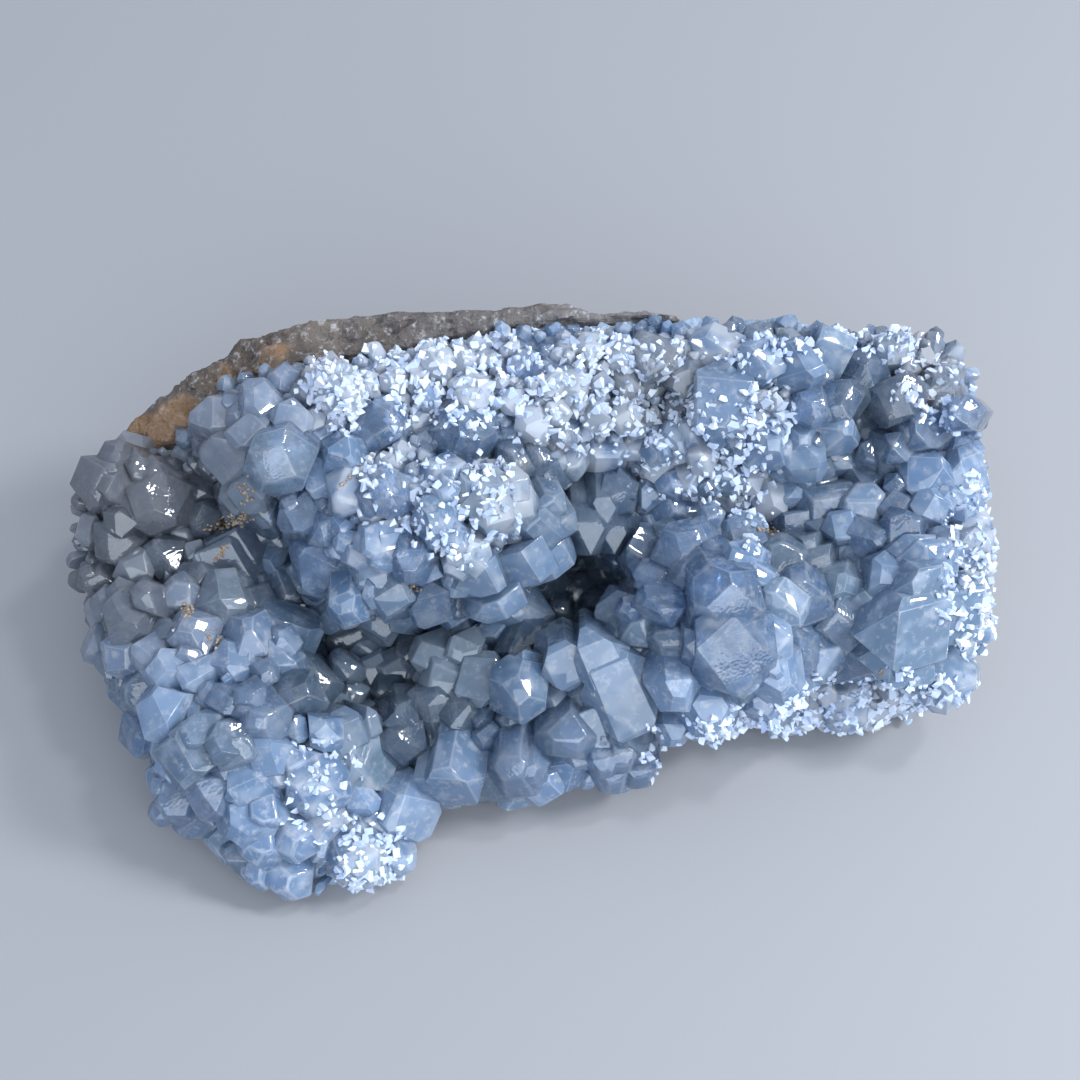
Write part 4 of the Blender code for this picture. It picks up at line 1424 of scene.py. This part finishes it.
def main():
    rng = random.Random(FILL_SEED)
    small_rng = random.Random(SMALL_SEED)
    mass = grown_mass()
    rows = placed_rows(mass, rng)
    clear, hazy = Clump("large_clear_crystals"), Clump("large_hazy_crystals")
    small_clear, small_hazy = Clump("small_clear_crystals"), Clump("small_hazy_crystals")
    grains, dust = Clump("sugar_grains"), Clump("ochre_dust")
    grow_large(rows, rng, clear, hazy)
    grow_small(mass, [(row[0], PLACED_ROOM * row[2]) for row in rows], small_rng, small_clear, small_hazy)
    ground = solid_mesh("celestite_crystals")
    surface = Surface((clear, hazy, small_clear, small_hazy), ground)
    grow_sugar(surface, small_rng, grains)
    settle_dust(surface, random.Random(DUST_SEED), dust)

    clear_look = crystal_finish("clear_celestite", 0.75, 0.90, 0.01, ripple=0.16, density=14.0)
    hazy_look = crystal_finish("hazy_celestite", 0.50, 0.78, 0.02)
    dressed(crystal_bed(mass), bed_finish(), CELESTITE_SLOT, "celestite_crystals")
    dressed(clear.finish(), clear_look, CELESTITE_SLOT)
    dressed(hazy.finish(), hazy_look, CELESTITE_SLOT)
    dressed(small_clear.finish(), clear_look, CELESTITE_SLOT)
    dressed(small_hazy.finish(), hazy_look, CELESTITE_SLOT)
    dressed(grains.finish(smooth=False), sugar_finish(), CELESTITE_SLOT)
    dressed(dust.finish(), dust_finish(), ROCK_SLOT)
    dressed(rough_rind(), rind_finish(), ROCK_SLOT, "rock_rind")
    ground.free()
    mass.free()


# Lights in metres, watts and shares of red, green and blue: place, size, power, colour
LIGHTS = (
    ("window", (0.55, 0.0, 0.48), (0.16, 0.16), 3.8, (0.96, 0.98, 1.0)),
    ("pane", (0.30, 0.10, 0.62), (0.06, 0.08), 1.0, (0.98, 0.99, 1.0)),
    ("front", (0.15, -0.55, 0.42), (0.9, 0.5), 4.0, (0.86, 0.93, 1.0)),
)
LIGHTS_AIM = Vector((0, 0, 0.015))
ROOM_STRENGTH = 0.95
ROOM_SHADE = (0.56, 0.66, 0.84)
ROOM_BRIGHT = (0.92, 1.0, 1.14)
BRIGHT_FROM = 0.9
FLOOR_REACH = 1500.0
NEAREST_SEEN = 0.01


def light_room():
    """Soft light from all round, brighter from the window's side."""
    f = Finish(bpy.data.worlds.new("soft_room"), "OutputWorld")
    way = f.node("TexCoord", {}, {}, "Generated")
    window = Vector(LIGHTS[0][1]).normalized()
    towards = f.node("VectorMath", {"operation": "DOT_PRODUCT"}, {0: way, 1: window}, "Value")
    stops = ((0.0, ROOM_SHADE), (BRIGHT_FROM, ROOM_BRIGHT))
    colour = f.node("ValToRGB", {"stops": stops}, {"Fac": towards})
    f.end(f.node("Background", {}, {"Color": colour, "Strength": ROOM_STRENGTH}))
    bpy.context.scene.world = f.owner


def studio():
    """Floor, soft light and the camera."""
    scene = bpy.context.scene
    bm = bmesh.new()
    bmesh.ops.create_grid(bm, x_segments=1, y_segments=1, size=FLOOR_REACH)
    floor = finished_object("floor", bm)
    floor.data.materials.append(floor_finish())
    floor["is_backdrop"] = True
    light_room()
    for name, place, size, power, colour in LIGHTS:
        data = bpy.data.lights.new(name, "AREA")
        data.shape = "RECTANGLE"
        data.size, data.size_y = size
        data.energy = power
        data.color = colour
        lamp = bpy.data.objects.new(name, data)
        lamp.location = place
        lamp.rotation_euler = (LIGHTS_AIM - Vector(place)).to_track_quat("-Z", "Y").to_euler()
        scene.collection.objects.link(lamp)

    data = bpy.data.cameras.new("camera")
    data.lens = LENS
    data.sensor_width = FILM_WIDTH
    data.clip_start = NEAREST_SEEN
    camera = bpy.data.objects.new("camera", data)
    eye = sight_point(*EYE) * MM
    camera.matrix_world = Matrix.Translation(eye) @ Matrix.Rotation(SIGHT_SLOPE, 4, "X")
    scene.collection.objects.link(camera)
    scene.camera = camera
    scene.view_settings.view_transform = "Standard"


main()
studio()
visual_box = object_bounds()
[[list(corner) for corner in box] for box in (solid_box, visual_box)]
